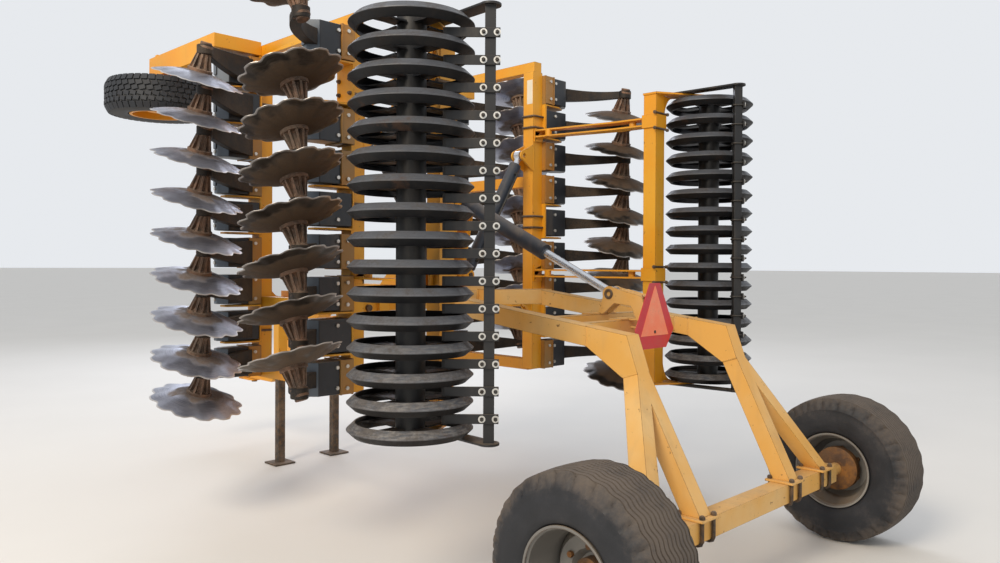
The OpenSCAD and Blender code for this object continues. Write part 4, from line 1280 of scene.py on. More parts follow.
@dataclass
class ClampBoxes(SidePart):
    """The rubber-sprung clamp boxes of one wing, with their seats, brackets, hoops and bolts."""

    bracket_units: tuple[int, ...] = (1, 4, 7)
    width: float = 0.156
    height: float = 0.2
    reach: float = 0.286
    chamfer: float = 0.058
    seat: float = 0.012
    cheek: float = 0.008
    cheek_reach: float = 0.085
    flange: float = 0.011
    bolt_spread: float = 0.122
    hoop_spread: float = 0.084
    rod: float = 0.008
    sunk: float = 0.004

    def place(self, row: Row, index: int) -> Matrix:
        """Where the middle of a box's seat lies on the beam's outer face."""
        return self.layout.unit_place(self.side, row, index, self.layout.beam / 2)

    def places(self) -> list[tuple[int, Matrix]]:
        """Each unit's number and the place of its box."""
        return [(index, self.place(row, index)) for row in Row for index in self.layout.units(self.side, row)]

    def boxes(self) -> tuple[Shape, Shape]:
        """The boxes, and the seats that are welded on the beams."""
        half, top = self.width / 2, self.height / 2
        far, cut = self.seat + self.reach, self.chamfer
        outline = [(self.seat, -half), (far - cut, -half), (far, -half + cut)]
        outline += mirrored(outline, 1)
        boxes, seats = Shape(), Shape()
        for index, place in self.places():
            boxes.prism(outline, -top, top, place)
            boxes.box((far - 0.002, -0.019, -0.05), (far + 0.01, 0.019, 0.05), place)
            if index in self.bracket_units:
                continue
            seats.box((0, -half - 0.005, -top - 0.008), (self.seat, half + 0.005, top + 0.008), place)
            end = self.cheek_reach
            for way in (-1, 1):
                inner, outer = sorted((way * half, way * (half + self.cheek)))
                seats.box((0, inner, -top - 0.004), (end, outer, top + 0.004), place)
            rim = half + self.cheek + 0.004
            seats.box((end, -rim, -top - 0.006), (end + self.flange, rim, top + 0.006), place)
        return boxes, seats

    def hoops(self) -> tuple[Shape, Points]:
        """The hoops that clamp the brackets on the beams, and the places of their nuts."""
        rods, nuts = Shape(), Points()
        reach = self.layout.beam / 2 + self.rod
        for row in Row:
            for index in self.bracket_units:
                inner = -self.layout.beam + (self.sunk if index == self.bracket_units[0] else -self.rod)
                place = self.place(row, index)
                for z in (-self.hoop_spread / 2, self.hoop_spread / 2):
                    near = [(self.seat + 0.022, -reach, z), (inner + 0.014, -reach, z),
                            (inner + 0.004, -reach + 0.004, z), (inner, -reach + 0.014, z)]
                    rods.tube([*near, *mirrored(near, 1)], self.rod, 10, place)
                    for y in (-reach, reach):
                        nuts.add((self.seat, y, z), (1, 0, 0), place)
        return rods, nuts

    def bolts(self) -> Points:
        """The bolts of the cheeks and of the boxes' outer faces."""
        points = Points()
        high, far = self.bolt_spread / 2, self.seat + self.reach
        for index, place in self.places():
            for way in (-1, 1):
                points.add((far, 0, way * (high + 0.008)), (1, 0, 0), place)
                for y in (-1, 1):
                    points.add((self.cheek_reach + 0.03, y * self.width / 2, way * high), (0, y, 0), place)
                    if index not in self.bracket_units:
                        rim = y * (self.width / 2 + self.cheek)
                        points.add((0.05, rim, way * high * 1.08), (0, y, 0), place)
        return points

    def build(self) -> None:
        """Builds the boxes with all that holds them."""
        boxes, seats = self.boxes()
        self.dress(boxes, "boxes", BOX_BLACK, "wing", "clamp_boxes", bevel=0.006)
        # The seats take the darker, dusty yellow that also carries painted shade.
        self.dress(seats, "box_seats", DUSTY_SHADED_SEAT_PAINT, "wing", "clamp_boxes", bevel=0.002)
        rounded(self.named("unit_brackets"), YELLOW, self.frame, 0.003)
        rods, nuts = self.hoops()
        self.dress(rods, "bracket_hoops", CLAMP_IRON, "wing", smooth=50)
        self.stud(nuts, "bracket_nuts", CLAMP_IRON, "wing", 0.0015, Radius=0.014, Height=0.013)
        self.stud(self.bolts(), "box_bolts", ZINC, "wing", 0.0015, Radius=0.0125, Height=0.011)


@dataclass
class PackerRoller(SidePart):
    """One packer roller: roof-shaped rings on spokes, round a tube."""

    diameter: float = 0.59
    count: int = 16
    pitch: float = 0.125
    width: float = 0.066
    ridge: float = 0.034
    tube: float = 0.14
    spokes: int = 4
    steps: int = 96

    def ring(self) -> bpy.types.Mesh:
        """One ring with its spokes."""
        radius, half = self.diameter / 2, self.width / 2
        shape = Shape()
        inside = radius - self.ridge - 0.008
        shape.lathe([
            (inside, -half), (radius - self.ridge, -half), (radius, -0.0018), (radius, 0.0018),
            (radius - self.ridge, half), (inside, half), (radius - 0.011, 0.001), (radius - 0.011, -0.001),
        ], self.steps)
        spoke = Shape()
        inner, outer = self.tube / 2 - 0.004, radius - 0.012
        arc = [(0.0, 0.045), (0.3, 0.04), (0.65, 0.043), (0.85, 0.056), (1.0, 0.078)]
        left = [(inner + (outer - inner) * t, w) for t, w in arc]
        outline = [(min(x, math.sqrt(outer * outer - y * y)), y) for x, y in [*left, *mirrored(left, 1)]]
        spoke.prism(outline, -0.004, 0.004)
        spokes = self.repeats.around.grow("spokes", spoke.to_mesh("spoke"), NUT_STEEL, Count=self.spokes)
        shape.stamp(spokes)
        return shape.to_mesh("ring")

    def build(self) -> None:
        """Builds the rings, the tube and the shaft."""
        axis = (self.side.value * self.layout.roller_x, self.layout.roller_y)
        steel = RoofRing(self.named("ring_steel"), *axis, self.diameter / 2)
        place = Matrix.Translation((*axis, self.layout.ring_bottom))
        step = (0, 0, self.pitch)
        rings = self.repeats.along.grow("rings", self.ring(), steel, Count=self.count, Step=step)
        rings.transform(place)
        body = self.named("roller")
        settle(new_piece(self.named("roller_rings"), rings, steel, 30), body, body)
        core, radius = Shape(), self.tube / 2
        top = (self.count - 1) * self.pitch + 0.045
        core.lathe([
            (0, -0.038), (0.03, -0.038), (0.03, -0.03), (radius - 0.004, -0.03), (radius, -0.026),
            (radius, top - 0.004), (radius - 0.004, top), (0.03, top), (0.03, top + 0.008), (0, top + 0.008),
        ], 40, place)
        self.dress(core, "roller_tube", BAR_BLACK, "roller", "roller")


@dataclass
class Scrapers(SidePart):
    """The scraper bar of one wing, its scrapers and the bolts that hold them."""

    count: int = 15
    pitch: float = 0.125
    bar_inside: float = 0.195
    bar_behind: float = 0.325
    bar_width: float = 0.05
    turn: float = math.radians(45)
    thickness: float = 0.01
    bolt_spread: float = 0.062

    @property
    def face(self) -> float:
        """The place of the scrapers' face, measured across the bar."""
        return -self.bar_width / 2 - self.thickness

    def hoop(self, height: float) -> list[Point3]:
        """The path of a hoop bolt round the back of the bar."""
        reach, back, corner = self.bolt_spread / 2, self.bar_width / 2 + 0.007, 0.012
        near = [(-reach, self.face, height), (-reach, back - corner, height),
                (-reach + 0.004, back - 0.003, height), (-reach + corner, back, height)]
        return [*near, *mirrored(near, 0)]

    def build(self) -> None:
        """Rounds the bar and the scrapers, and adds washers, nuts and the bolts' tails."""
        rounded(self.named("scraper_bar"), BAR_BLACK, self.frame, 0.004)
        rounded(self.named("scrapers"), BAR_BLACK, self.frame, 0.0015)
        x, y = self.layout.roller_x - self.bar_inside, self.layout.roller_y - self.bar_behind
        foot = Matrix.Translation((x, y, self.layout.ring_bottom))
        place = self.side.mirror @ foot @ Matrix.Rotation(self.turn, 4, "Z")
        heads, hoops = Points(), Shape()
        for k in range(self.count):
            height = (k + 0.5) * self.pitch
            for way in (-1, 1):
                heads.add((way * self.bolt_spread / 2, self.face, height), (0, -1, 0), place)
            hoops.tube(self.hoop(height), 0.006, 8, place)
        self.dress(hoops, "scraper_hoops", NUT_STEEL, "wing", smooth=50)
        for title, finish, sides, radius, high, lift in (
            ("washers", ZINC, 20, 0.0165, 0.003, 0.0),
            ("nuts", NUT_STEEL, 6, 0.0095, 0.008, 0.003),
            ("tails", NUT_STEEL, 8, 0.0055, 0.008, 0.011),
        ):
            sizes = {"Sides": sides, "Radius": radius, "Height": high}
            self.stud(heads, "scraper_" + title, finish, "wing", lift=lift, **sizes)


@dataclass
class CarriageWheel(SidePart):
    """One carriage wheel: a road tyre with waved ribs on a deep rim, and its drum."""

    diameter: float = 0.85
    width: float = 0.35
    rim: float = 0.43
    grooves: int = 10
    groove_depth: float = 0.01
    groove_half: Point2 = (0.0042, 0.0026)
    crown_fall: float = 0.006
    bolt_ring: float = 0.108
    wave: float = 0.006
    waves: int = 30
    blocks: int = 52
    steps: int = 208

    def tyre_profile(self) -> list[Point2]:
        """Section of the tyre, radius and place across, with the grooves of the tread."""
        outer, half, bead = self.diameter / 2, self.width / 2, self.rim / 2
        wall = [
            (bead, -half + 0.04), (bead + 0.004, -half + 0.02), (bead + 0.012, -half + 0.012),
            (bead + 0.03, -half + 0.005), (bead + 0.06, -half + 0.001), (outer - 0.1, -half + 0.002),
            (outer - 0.072, -half + 0.008), (outer - 0.066, -half + 0.007), (outer - 0.045, -half + 0.018),
            (outer - 0.024, -half + 0.027), (outer - 0.012, -half + 0.036),
        ]
        tread_half = half - 0.05
        pitch = 2 * tread_half / self.grooves
        tread: list[Point2] = []
        for k in range(self.grooves + 1):
            middle = -tread_half + k * pitch
            crown = outer - self.crown_fall * (middle / tread_half) ** 2
            mouth, foot = self.groove_half
            floor = crown - self.groove_depth
            tread += [(crown, middle - mouth), (floor, middle - foot), (floor, middle + foot),
                      (crown, middle + mouth)]
        return [*wall, *tread, *mirrored(wall, 1)]

    def tyre(self) -> Shape:
        """The tyre, its ribs waved along the tread and its shoulder notched."""
        outer, half = self.diameter / 2, self.width / 2

        def bend(radius: float, across: float, turn: float) -> Point2:
            """Waves the tread sideways and presses the notches into the shoulder."""
            if radius > outer - 0.02 and abs(across) < half - 0.04:
                across += self.wave * math.sin(self.waves * turn)
            elif outer - 0.062 < radius < outer - 0.005:
                phase = math.sin(self.blocks * turn / 2)
                notch = max(0.0, phase) ** 5 + 0.4 * max(0.0, -phase) ** 9
                radius -= 0.007 * notch
                across -= math.copysign(0.01 * notch, across)
            return radius, across

        shape = Shape()
        shape.lathe(self.tyre_profile(), self.steps, self.place(), bend)
        return shape

    def place(self) -> Matrix:
        """Where the wheel stands: its axis along X, the outside of the wheel at positive Z."""
        low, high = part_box(self.named("tyre"))
        return Matrix.Translation((low + high) / 2) @ self.side.mirror @ Matrix.Rotation(QUARTER_TURN, 4, "Y")

    def rim_shape(self) -> Shape:
        """The rim: lips, drop centre and the dished disc."""
        radius, half = self.rim / 2, self.width / 2
        outside = [
            (radius - 0.002, -half + 0.006), (radius + 0.004, -half + 0.008), (radius + 0.004, -half + 0.014),
            (radius - 0.006, -half + 0.022), (radius - 0.008, -half + 0.06), (radius - 0.03, -half + 0.09),
            (radius - 0.03, half - 0.13), (radius - 0.012, half - 0.1), (radius - 0.008, half - 0.022),
            (radius + 0.004, half - 0.014), (radius + 0.004, half - 0.008), (radius - 0.002, half - 0.006),
        ]
        inside = [(r - 0.007, z * 0.985) for r, z in reversed(outside)]
        shape = Shape()
        shape.lathe([*outside, *inside], 72, self.place())
        disc = [(0.0555, -0.02), (0.075, -0.022), (0.095, 0.008), (0.15, 0.016), (0.175, -0.012),
                (radius - 0.034, -0.022)]
        shape.lathe([*disc, *[(r, z - 0.01) for r, z in reversed(disc)]], 60, self.place())
        return shape

    def build(self) -> None:
        """Builds the tyre, the rim, the drum and the wheel nuts."""
        self.dress(self.tyre(), "tyre_tread", TYRE, "wheel", "tyre", 50)
        self.dress(self.rim_shape(), "rim_dish", SILVER, "wheel", "rim", 40)
        drum, nuts = Shape(), Points()
        drum.lathe([
            (0.0355, -0.105), (0.118, -0.105), (0.126, -0.1), (0.126, -0.052), (0.116, -0.04), (0.07, -0.036),
            (0.0625, -0.028), (0.0625, 0.026), (0.05, 0.035), (0.05, 0.05), (0.044, 0.056), (0.0355, 0.056),
        ], 48, self.place())
        self.dress(drum, "wheel_drum", DRUM_RUST, "wheel", "rim", 35)
        for turn in turns(6):
            for height, aim in ((0.01, 1), (-0.002, -1)):
                nuts.add((*around(turn, self.bolt_ring), height), (0, 0, aim), self.place())
        self.stud(nuts, "wheel_nuts", DRUM_RUST, "wheel", 0.0012, Radius=0.014, Height=0.016)


@dataclass
class SupportWheel(SidePart):
    """One support wheel, lying flat on the folded wing, with a blocky field tread."""

    diameter: float = 0.75
    width: float = 0.26
    rim: float = 0.41
    blocks: int = 44

    def place(self) -> Matrix:
        """Where the wheel lies, its axis along Z."""
        low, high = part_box(self.named("support_tyre"))
        return Matrix.Translation((low + high) / 2)

    def casing(self) -> Shape:
        """The tyre without its blocks."""
        outer, half, bead = self.diameter / 2 - 0.012, self.width / 2, self.rim / 2
        wall = [
            (bead, -half + 0.03), (bead + 0.01, -half + 0.01), (bead + 0.04, -half + 0.001),
            (outer - 0.06, -half + 0.002), (outer - 0.03, -half + 0.012), (outer - 0.01, -half + 0.03),
            (outer, -half + 0.06),
        ]
        shape = Shape()
        shape.lathe([*wall, (outer, 0), *mirrored(wall, 1)], 72, self.place())
        return shape

    def block_rows(self) -> bpy.types.Mesh:
        """The blocks of one step of the tread: four in the middle and two on the shoulders."""
        outer, half = self.diameter / 2, self.width / 2
        step = FULL_TURN * outer / self.blocks
        shape = Shape()
        for way in (-1, 1):
            lean = Matrix.Rotation(way * 0.25, 4, "X")
            for across, ahead in ((0.019, 0.12), (0.056, -0.3)):
                middle = Matrix.Translation((outer - 0.014, way * step * ahead, way * across)) @ lean
                shape.box((-0.002, -step * 0.4, -0.0155), (0.0135, step * 0.4, 0.0155), middle)
            tilt = Matrix.Rotation(-way * 0.5, 4, "Y")
            edge = Matrix.Translation((outer - 0.026, way * step * 0.3, way * (half - 0.034))) @ tilt
            shape.box((-0.004, -step * 0.4, -0.024), (0.013, step * 0.4, 0.024), edge)
        return shape.to_mesh("blocks")

    def build(self) -> None:
        """Builds the casing and the blocks of the tread."""
        self.dress(self.casing(), "support_casing", FIELD_TYRE, "support_wheel", "support_tyre", 40)
        tread = self.repeats.around.grow("tread", self.block_rows(), FIELD_TYRE, Count=self.blocks)
        tread.transform(self.place())
        piece = new_piece(self.named("support_tread"), tread, FIELD_TYRE, 30, 0.002)
        settle(piece, self.named("support_wheel"), self.named("support_tyre"))


@dataclass
class AxleClamps:
    """The clamps that hold the carriage legs on the axle: a plate and two hoop bolts each."""

    repeats: Repeats
    plate: Point2 = (0.15, 0.16)
    plate_thickness: float = 0.012
    axle: float = 0.1
    spread: float = 0.05
    rod: float = 0.0095

    def build(self) -> None:
        """Builds the plates, hoops and nuts."""
        low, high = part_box("axle_beam")
        axle_y, top = (low.y + high.y) / 2, high.z
        plates, hoops, nuts = Shape(), Shape(), Points()
        reach = self.axle / 2 + 0.012
        under = top - self.axle - 0.009
        for leg in (way * leg for way in (-1, 1) for leg in LEGS):
            middle = Vector((leg, axle_y, top))
            half = Vector((*self.plate, 0)) / 2
            plates.box(tuple(middle - half), tuple(middle + half + Vector((0, 0, self.plate_thickness))))
            for x in (leg - self.spread, leg + self.spread):
                near = [(x, axle_y - reach, top + 0.03), (x, axle_y - reach, under + 0.02),
                        (x, axle_y - reach + 0.006, under + 0.006), (x, axle_y - reach + 0.02, under)]
                hoops.tube([*near, *mirrored(near, 1, axle_y)], self.rod, 10)
                for y in (-reach, reach):
                    nuts.add((x, axle_y + y, top + self.plate_thickness), (0, 0, 1))
        settle(plates.piece("clamp_plates", SUNLIT_PALE_YELLOW, 30, 0.003), "carriage", "axle_clamps")
        settle(hoops.piece("clamp_hoops", CLAMP_IRON, 50), "carriage", "axle_clamps")
        studs = self.repeats.stud_piece
        studs("clamp_nuts", nuts, CLAMP_IRON, "carriage", 0.0015, Radius=0.0145, Height=0.014)


@dataclass
class WarningSign:
    """The slow-vehicle sign: a cut-off triangle with a border, blank in the middle."""

    border: float = 0.07
    foot: float = 0.112
    corner: float = 0.1
    top: float = 0.05
    centre_half: float = 0.131
    rise: float = 0.016
    thickness: float = 0.004

    def outlines(self, width: float, height: float) -> tuple[list[Point2], list[Point2]]:
        """The outlines of the border and of the pale centre in X and Z, from their lowest middles.

        Args:
            width: The width of the sign.
            height: Its height, without the rise of its point.

        Returns:
            A triangle with cut-off corners, and the smaller triangle within it.
        """
        peak = height + self.rise
        border = [(self.foot, 0), (width / 2, self.corner), (self.top, peak)]
        centre = [(self.centre_half, self.border), (0.004, peak - 0.016)]
        return [*border, *mirrored(border, 0)], [*centre, *mirrored(centre, 0)]

    def build(self) -> None:
        """Builds the border, its stem, the pale centre and the bolt."""
        low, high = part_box("warning_sign")
        face = low.y + self.thickness
        turned = Matrix.Rotation(QUARTER_TURN, 4, "X")
        place = Matrix.Translation((0, face, low.z)) @ turned
        border, centre = self.outlines(high.x - low.x, high.z - low.z)
        plate, stem, middle, bolt = Shape(), Shape(), Shape(), Shape()
        plate.prism(border, 0, self.thickness, place)
        stem.box((-0.02, face - 0.001, low.z + 0.105), (0.02, high.y, low.z + 0.115))
        middle.prism(centre, self.thickness - 0.001, self.thickness + 0.0008, place)
        head = [(0, 0), (0.009, 0), (0.009, 0.002), (0.005, 0.004), (0, 0.004)]
        bolt.lathe(head, 16, Matrix.Translation((0, low.y, low.z + 0.09)) @ turned)
        for shape, name, finish, bevel in (
            (plate, "sign_border", SIGN_BORDER, 0.001), (stem, "sign_stem", SUNLIT_PALE_YELLOW, 0),
            (middle, "sign_centre", SIGN_CENTRE, 0), (bolt, "sign_bolt", NUT_STEEL, 0),
        ):
            settle(shape.piece(name, finish, 30, bevel), "carriage", "warning_sign")


@dataclass
class WingFittings(SidePart):
    """The bolts of a roller's bearings, and the rods that clamp the roller arms on their post."""

    rod: float = 0.007
    post: Point2 = (0.965, -1.178)
    clamp_z: Point2 = (1.57, 2.615)
    clamp_half: float = 0.053
    rod_half: float = 0.085
    bolt_ring: float = 0.046

    def bearings(self) -> None:
        """The bolts of the roller's bearings, on both end plates."""
        low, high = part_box(self.named("roller_frame"))
        axis = Matrix.Translation((self.side.value * self.layout.roller_x, self.layout.roller_y, 0))
        bolts = Points()
        for z, aim in ((high.z, 1), (low.z, -1)):
            for turn in turns(4):
                bolts.add((*around(turn + QUARTER_TURN / 2, self.bolt_ring), z), (0, 0, aim), axis)
        self.stud(bolts, "bearing_bolts", ZINC, "wing", 0.001, Radius=0.01, Height=0.01)

    def build(self) -> None:
        """Builds the bolts, and the clamps' rods with their nuts."""
        self.bearings()
        x, y = self.post
        rods, nuts = Shape(), Points()
        for z in (middle + way * self.clamp_half for middle in self.clamp_z for way in (-1, 1)):
            rod = [(x - self.rod_half, y, z), (x + self.rod_half, y, z)]
            rods.tube(rod, self.rod, 10, self.side.mirror)
            for end in (-1, 1):
                nuts.add((x + end * (self.rod_half - 0.014), y, z), (end, 0, 0), self.side.mirror)
        self.dress(rods, "clamp_rods", CLAMP_IRON, "wing", smooth=50)
        self.stud(nuts, "clamp_rod_nuts", CLAMP_IRON, "wing", 0.001, Radius=0.013, Height=0.01)


@dataclass
class Fittings:
    """The steel pipes of the cylinders, and a blank label."""

    layout: Layout
    pipe: float = 0.007
    label_z: Point2 = (2.84, 3.02)

    def pipes(self) -> None:
        """The steel pipes along the barrels of the cylinders, with their unions."""
        for node, base, eye, side_way, reach, gland in (
            ("lift_barrel", (0, -0.231, 2.06), (0, -1.505, 1.47), (1, 0, 0), 0.05, 0.80),
            ("fold_barrel_left", (-0.13, -0.131, 1.56), (-0.671, -0.131, 2.442), (0, -1, 0), 0.045, 0.9),
            ("fold_barrel_right", (0.13, -0.131, 1.56), (0.671, -0.131, 2.442), (0, -1, 0), 0.045, 0.9),
        ):
            start, way, out = Vector(base), (Vector(eye) - Vector(base)).normalized(), Vector(side_way)
            first, last = 0.12, gland - 0.035
            path = [(first, -0.004), (first, 0.016), (first + 0.02, 0.022), (gland - 0.06, 0.022),
                    (last, 0.016), (last, -0.004)]
            shape = Shape()
            shape.tube([start + way * along + out * (reach + off) for along, off in path], self.pipe, 10)
            turn = out.to_track_quat("Z", "Y").to_matrix().to_4x4()
            for along in (first, last):
                place = Matrix.Translation(start + way * along + out * (reach - 0.004)) @ turn
                shape.lathe([(0, 0), (0.014, 0), (0.014, 0.012), (0.0105, 0.014), (0, 0.014)], 6, place)
            settle(shape.piece("pipe_" + node, NUT_STEEL, 50), node)

    def label(self) -> None:
        """The pale blank label on the inner face of the right rear beam."""
        x, y = self.layout.wing_x - self.layout.beam / 2, self.layout.rear_beam_y - self.layout.beam / 2
        low, high = self.label_z
        shape = Shape()
        shape.box((x - 0.0012, y + 0.01, low), (x + 0.0005, y + 0.066, high))
        settle(shape.piece("label_right", LABEL, 30), "wing_right")

    def build(self) -> None:
        """Builds the fittings."""
        self.pipes()
        self.label()


@dataclass(frozen=True)
class PhotoCamera:
    """The camera of the photograph, in the part's frame."""

    place: Point3 = (-3.7477, -4.3164, 1.6342)
    yaw: float = 0.79875
    pitch: float = 0.0063746
    roll: float = 0.0052437
    focal_pixels: float = 816.746
    off_right: float = 7.71
    off_down: float = -11.89
    sensor: float = 36.0

    def build(self) -> None:
        """Makes the camera and hands it to the scene."""
        data = bpy.data.cameras.new("photo_camera")
        data.sensor_width = self.sensor
        data.lens = self.focal_pixels / PHOTO_WIDTH * self.sensor
        data.shift_x = -self.off_right / PHOTO_WIDTH
        data.shift_y = self.off_down / PHOTO_WIDTH
        level = Vector((math.sin(self.yaw), math.cos(self.yaw), 0))
        ahead = math.cos(self.pitch) * level - math.sin(self.pitch) * Vector((0, 0, 1))
        right = Vector((math.cos(self.yaw), -math.sin(self.yaw), 0))
        up = right.cross(ahead)
        turned = math.cos(self.roll) * right + math.sin(self.roll) * up
        raised = -math.sin(self.roll) * right + math.cos(self.roll) * up
        camera = bpy.data.objects.new("photo_camera", data)
        facing = Matrix((turned, raised, -ahead)).transposed().to_4x4()
        camera.matrix_world = Matrix.Translation(self.place) @ facing
        bpy.context.scene.collection.objects.link(camera)
        bpy.context.scene.camera = camera
        log.info("camera at %s", self.place)


@dataclass(frozen=True)
class Studio:
    """A pale floor that runs into a pale sky, and soft light from above."""

    floor_size: float = 500
    floor_colour: Colour = tone("CFCCC7")
    sky: float = 1.15

    def floor(self) -> None:
        """Lays the floor."""
        shape = Shape()
        half = self.floor_size / 2
        shape.box((-half, -half, -0.05), (half, half, -0.002))
        shader = Shader("studio_floor")
        cloud = shader.noise(0.7, 3)
        colour = shader.tint(cloud, self.floor_colour, tone("D6D3CE"))
        mesh = shape.to_mesh("studio_floor")
        mesh.materials.append(shader.finish(colour, 0.85))
        floor = bpy.data.objects.new("studio_floor", mesh)
        bpy.context.scene.collection.objects.link(floor)

    def lights(self) -> None:
        """Sets the sky and the soft lamps."""
        world = bpy.data.worlds.new("sky")
        world.use_nodes = True
        tree = Tree(world.node_tree)
        tree.tree.nodes.clear()
        sky = tree.flow("ShaderNodeBackground", {"Color": tone("EEF1F5"), "Strength": self.sky})
        tree.node("ShaderNodeOutputWorld", {"Surface": sky})
        bpy.context.scene.world = world
        for name, place, aim, size, watts, colour in (
            ("key", (-8.5, -3.0, 8.0), (0, -0.5, 1.2), 4.0, 1100, tone("FFF1DC")),
            ("back", (5, 8, 7.5), (0, 0, 1.5), 6.0, 600, tone("EAF0FF")),
        ):
            data = bpy.data.lights.new(name, "AREA")
            data.size = size
            data.energy = watts
            data.color = colour
            lamp = bpy.data.objects.new(name, data)
            facing = (Vector(aim) - Vector(place)).to_track_quat("-Z", "Y").to_matrix().to_4x4()
            lamp.matrix_world = Matrix.Translation(place) @ facing
            bpy.context.scene.collection.objects.link(lamp)

    def build(self) -> None:
        """Builds the studio."""
        self.floor()
        self.lights()
        view = bpy.context.scene.view_settings
        view.view_transform = "Standard"
        view.exposure = -0.3
        log.info("studio ready")


@dataclass(frozen=True)
class Knee:
    """The slant of the carriage's knees, whose legs leave them square to their own run."""

    foot_z: float = 0.487
    knee_z: float = 1.105
    foot_y: Point2 = (-2.274, -2.374)
    solid_y: Point2 = (-1.856, -1.986)
    knee_y: Point2 = (-1.959, -2.044)
    drop: Point2 = (-0.017, 0.011)
    leg_spread: float = 1.28

    def shift(self, at: Vector) -> Vector:
        """Moves a corner of the legs, or of the knee's underside, to where the slant has it.

        Args:
            at: The corner on the solid.

        Returns:
            Its new place.
        """
        if at.z > self.knee_z + 0.01 or at.y > self.solid_y[0] + 0.02:
            return at
        share = min(1.0, (at.z - self.foot_z) / (self.knee_z - self.foot_z))
        (front, rear), (new_front, new_rear) = (
            [foot + share * (knee - foot) for foot, knee in zip(self.foot_y, knees)]
            for knees in (self.solid_y, self.knee_y)
        )
        back = (at.y - front) / (rear - front)
        x = at.x
        if share < 0.1:
            leg = min(LEGS, key=lambda place: abs(place - abs(x)))
            x = math.copysign(leg + (abs(x) - leg) * self.leg_spread, x)
        rise = share * (self.drop[0] + back * (self.drop[1] - self.drop[0]))
        return Vector((x, new_front + back * (new_rear - new_front), at.z + rise))


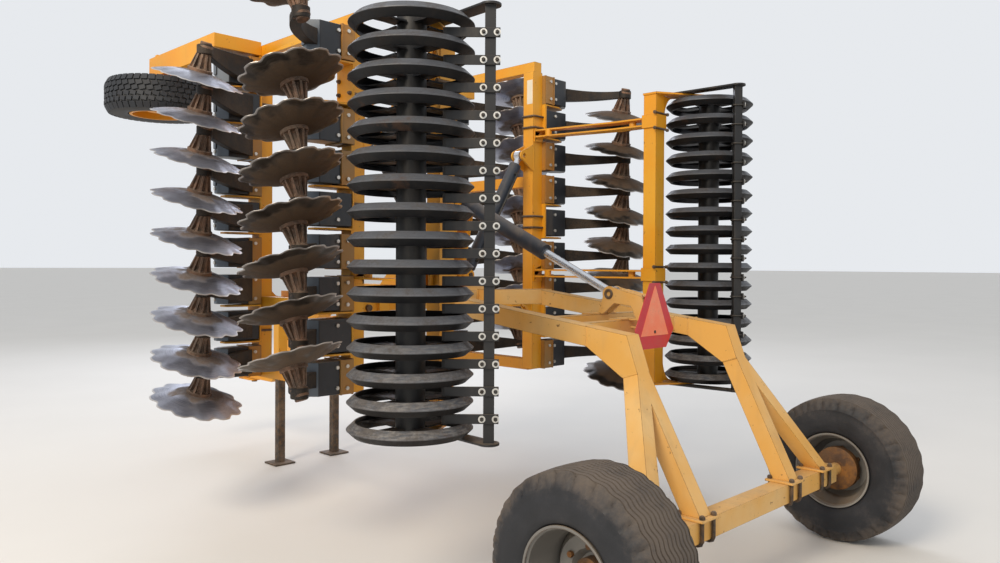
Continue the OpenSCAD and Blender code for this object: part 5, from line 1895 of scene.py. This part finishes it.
@dataclass
class Frames:
    """The welded frames, pins and cylinders, dressed as the solids they are."""

    frame: dict[str, Any]
    repeats: Repeats
    weld: float = 0.0045
    shortest_weld: float = 0.045
    corner_from: float = 0.7
    corner_to: float = 2.4
    seam_y: float = -1.731
    seam_top: float = 1.3241
    beam_x: float = 0.475
    beam: float = 0.1
    knee: Knee = Knee()
    pin: Point2 = (-1.505, 1.47)
    lug: float = 0.045
    lug_x: float = 0.034
    lug_thickness: float = 0.012
    post: Point2 = (1.014, -1.163)
    post_z: Point2 = (0.842, 2.788)
    gusset: Point2 = (0.1, 0.19)

    def bracket(self) -> None:
        """The lift bracket: two plates on open feet, a cover between them, and the pin's worn bush."""
        y, z = self.pin
        ends = (around(math.radians(-20 + 18 * k), self.lug) for k in range(9))
        round_end = [(y + across, z + up) for across, up in ends]
        outline = [
            (-1.366, 1.352), (-1.435, 1.372), *round_end, (-1.73, 1.462), (-1.748, 1.405), (-1.745, 1.329),
            (-1.641, 1.329), (-1.641, 1.339), (-1.69, 1.342), (-1.655, 1.408), (-1.54, 1.418),
            (-1.472, 1.362), (-1.446, 1.352),
        ]
        shape = Shape()
        upright = Matrix(((0, 0, 1, 0), (1, 0, 0, 0), (0, 1, 0, 0), (0, 0, 0, 1)))
        for way in (-1, 1):
            middle = Matrix.Translation((way * self.lug_x, 0, 0))
            shape.prism(outline, -self.lug_thickness / 2, self.lug_thickness / 2, middle @ upright)
        for tie, top in ((-1.406, 1.352), (-1.601, 1.329)):
            shape.box((-0.11, tie - 0.04, top), (0.11, tie + 0.04, top + 0.008))
        cover = [(-1.722, 1.455), (-1.722, 1.463), (-1.584, 1.496), (-1.584, 1.488)]
        shape.prism(cover, -self.lug_x, self.lug_x, upright)
        settle(shape.piece("bracket_plates", SUNLIT_PALE_YELLOW, 30, 0.002), "carriage", "lift_bracket")
        bush = Shape()
        for way in (-1, 1):
            face = way * (self.lug_x + self.lug_thickness / 2)
            turn = Matrix.Translation((face, y, z)) @ Matrix.Rotation(way * QUARTER_TURN, 4, "Y")
            bush.lathe([
                (0.0135, -0.001), (0.029, -0.001), (0.029, 0.005), (0.026, 0.007), (0.0165, 0.007),
                (0.0135, 0.005),
            ], 32, turn)
        settle(bush.piece("bracket_bushes", CLAMP_IRON, 30), "carriage")

    def gussets(self) -> None:
        """The hollow-edged plates in the corners between the roller posts and their end plates."""
        curve = [
            (self.gusset[0] * (1 - math.sin(turn)), self.gusset[1] * (1 - math.cos(turn)))
            for turn in (QUARTER_TURN * k / 12 for k in range(13))
        ]
        for side in Side:
            shape = Shape()
            for z, way in ((self.post_z[0], 1), (self.post_z[1], -1)):
                place = side.mirror @ Matrix.Translation((self.post[0], self.post[1], z))
                upright = Matrix(((1, 0, 0, 0), (0, 0, 1, 0), (0, way, 0, 0), (0, 0, 0, 1)))
                outline = [(-0.002, -0.004), (self.gusset[0], -0.004), *curve]
                shape.prism(outline, -0.004, 0.004, place @ upright)
            settle(shape.piece(side.named("post_gussets"), YELLOW, 40), side.named("wing"))

    def painted(self) -> dict[str, Paint]:
        """The paint of each welded node."""
        paints = {node: YELLOW for node in ("centre_frame", "tower", "drawbar", "hitch_crossbar")}
        # The carriage takes the paler yellow, which partly carries painted sunlight.
        paints |= {node: SUNLIT_PALE_YELLOW for node in ("carriage_frame", "axle_beam", "lift_bracket")}
        for side in Side:
            for name in ("wing_frame", "roller_frame", "roller_arms", "support_arm"):
                paints[side.named(name)] = YELLOW
        return paints

    def slant_of(self, node: str) -> Callable[[Vector], Vector] | None:
        """What moves the corners of a node: the knees' slant on the carriage, or nothing."""
        return self.knee.shift if node == "carriage_frame" else None

    def corners(self, node: str) -> list[tuple[Vector, Vector]]:
        """The inside corners of a node, where its members are welded together."""
        solid = merged(self.frame["nodes"][node], self.slant_of(node))
        found = [
            (edge.verts[0].co.copy(), edge.verts[1].co.copy())
            for edge in solid.edges
            if len(edge.link_faces) == 2 and not edge.is_convex and edge.calc_length() > self.shortest_weld
            and self.corner_from < edge.calc_face_angle() < self.corner_to
        ]
        solid.free()
        return found

    def seams(self) -> list[tuple[Vector, Vector]]:
        """The butt welds round the carriage beams ahead of the knees."""
        found = []
        for way in (-1, 1):
            low, high = self.seam_top - self.beam, self.seam_top
            left, right = way * self.beam_x - self.beam / 2, way * self.beam_x + self.beam / 2
            corners = ((left, low), (left, high), (right, high), (right, low))
            loop = [Vector((x, self.seam_y, z)) for x, z in corners]
            found += list(zip(loop, [*loop[1:], loop[0]]))
        return found

    def welds(self, paints: dict[str, Paint]) -> None:
        """Lays the welds of each body, in the paint of its frame."""
        groups: dict[tuple[str, Paint], list[tuple[Vector, Vector]]] = {}
        for node, paint in paints.items():
            lines = groups.setdefault((self.frame["nodes"][node]["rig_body"], paint), [])
            lines += self.corners(node)
            if node == "carriage_frame":
                lines += self.seams()
        for (body, paint), lines in groups.items():
            if not lines:
                continue
            name = f"welds_{body}"
            mesh = bpy.data.meshes.new(name)
            edges = [(2 * i, 2 * i + 1) for i in range(len(lines))]
            mesh.from_pydata([point for line in lines for point in line], edges, [])
            bead = self.repeats.welds.grow(name, mesh, paint, Radius=self.weld)
            settle(new_piece(name, bead, paint, 80), body)

    def build(self) -> None:
        """Rounds the painted frames, welds them and gives the plain nodes their finishes."""
        paints = self.painted()
        for node, paint in paints.items():
            if node != "lift_bracket":
                rounded(node, paint, self.frame, shift=self.slant_of(node))
        self.bracket()
        self.gussets()
        self.welds(paints)
        for side in Side:
            rounded(side.named("stand"), CLAMP_IRON, self.frame, 0.003)
        plain = dict.fromkeys(("hinge_pins", "hitch_pins"), CLAMP_IRON)
        plain |= {"lift_barrel": BARREL, "lift_rod": CHROME}
        for side in Side:
            for name, finish in (("fold_barrel", BARREL), ("fold_rod", CHROME), ("support_rim", YELLOW)):
                plain[side.named(name)] = finish
        for node, finish in plain.items():
            mesh = self.frame["nodes"][node].data
            mesh.materials.clear()
            mesh.materials.append(material_of(finish))
            log.info("%s keeps its solid", node)


def main() -> None:
    """Loads the frame and builds every sub-assembly around it."""
    logging.basicConfig(level=logging.INFO, format="%(name)s: %(message)s", stream=sys.stdout)
    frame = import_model()
    layout = Layout.from_frame()
    log.info("layout: %s", layout)
    PhotoCamera().build()
    Studio().build()
    repeats = Repeats()
    Frames(frame, repeats).build()
    for side in Side:
        for row in Row:
            DiscUnits(layout, repeats, frame, side, row).build()
        for part in (ClampBoxes, PackerRoller, Scrapers, CarriageWheel, SupportWheel):
            part(layout, repeats, frame, side).build()
    for side in Side:
        WingFittings(layout, repeats, frame, side).build()
    Fittings(layout).build()
    AxleClamps(repeats).build()
    WarningSign().build()


if __name__ == "__main__":
    main()
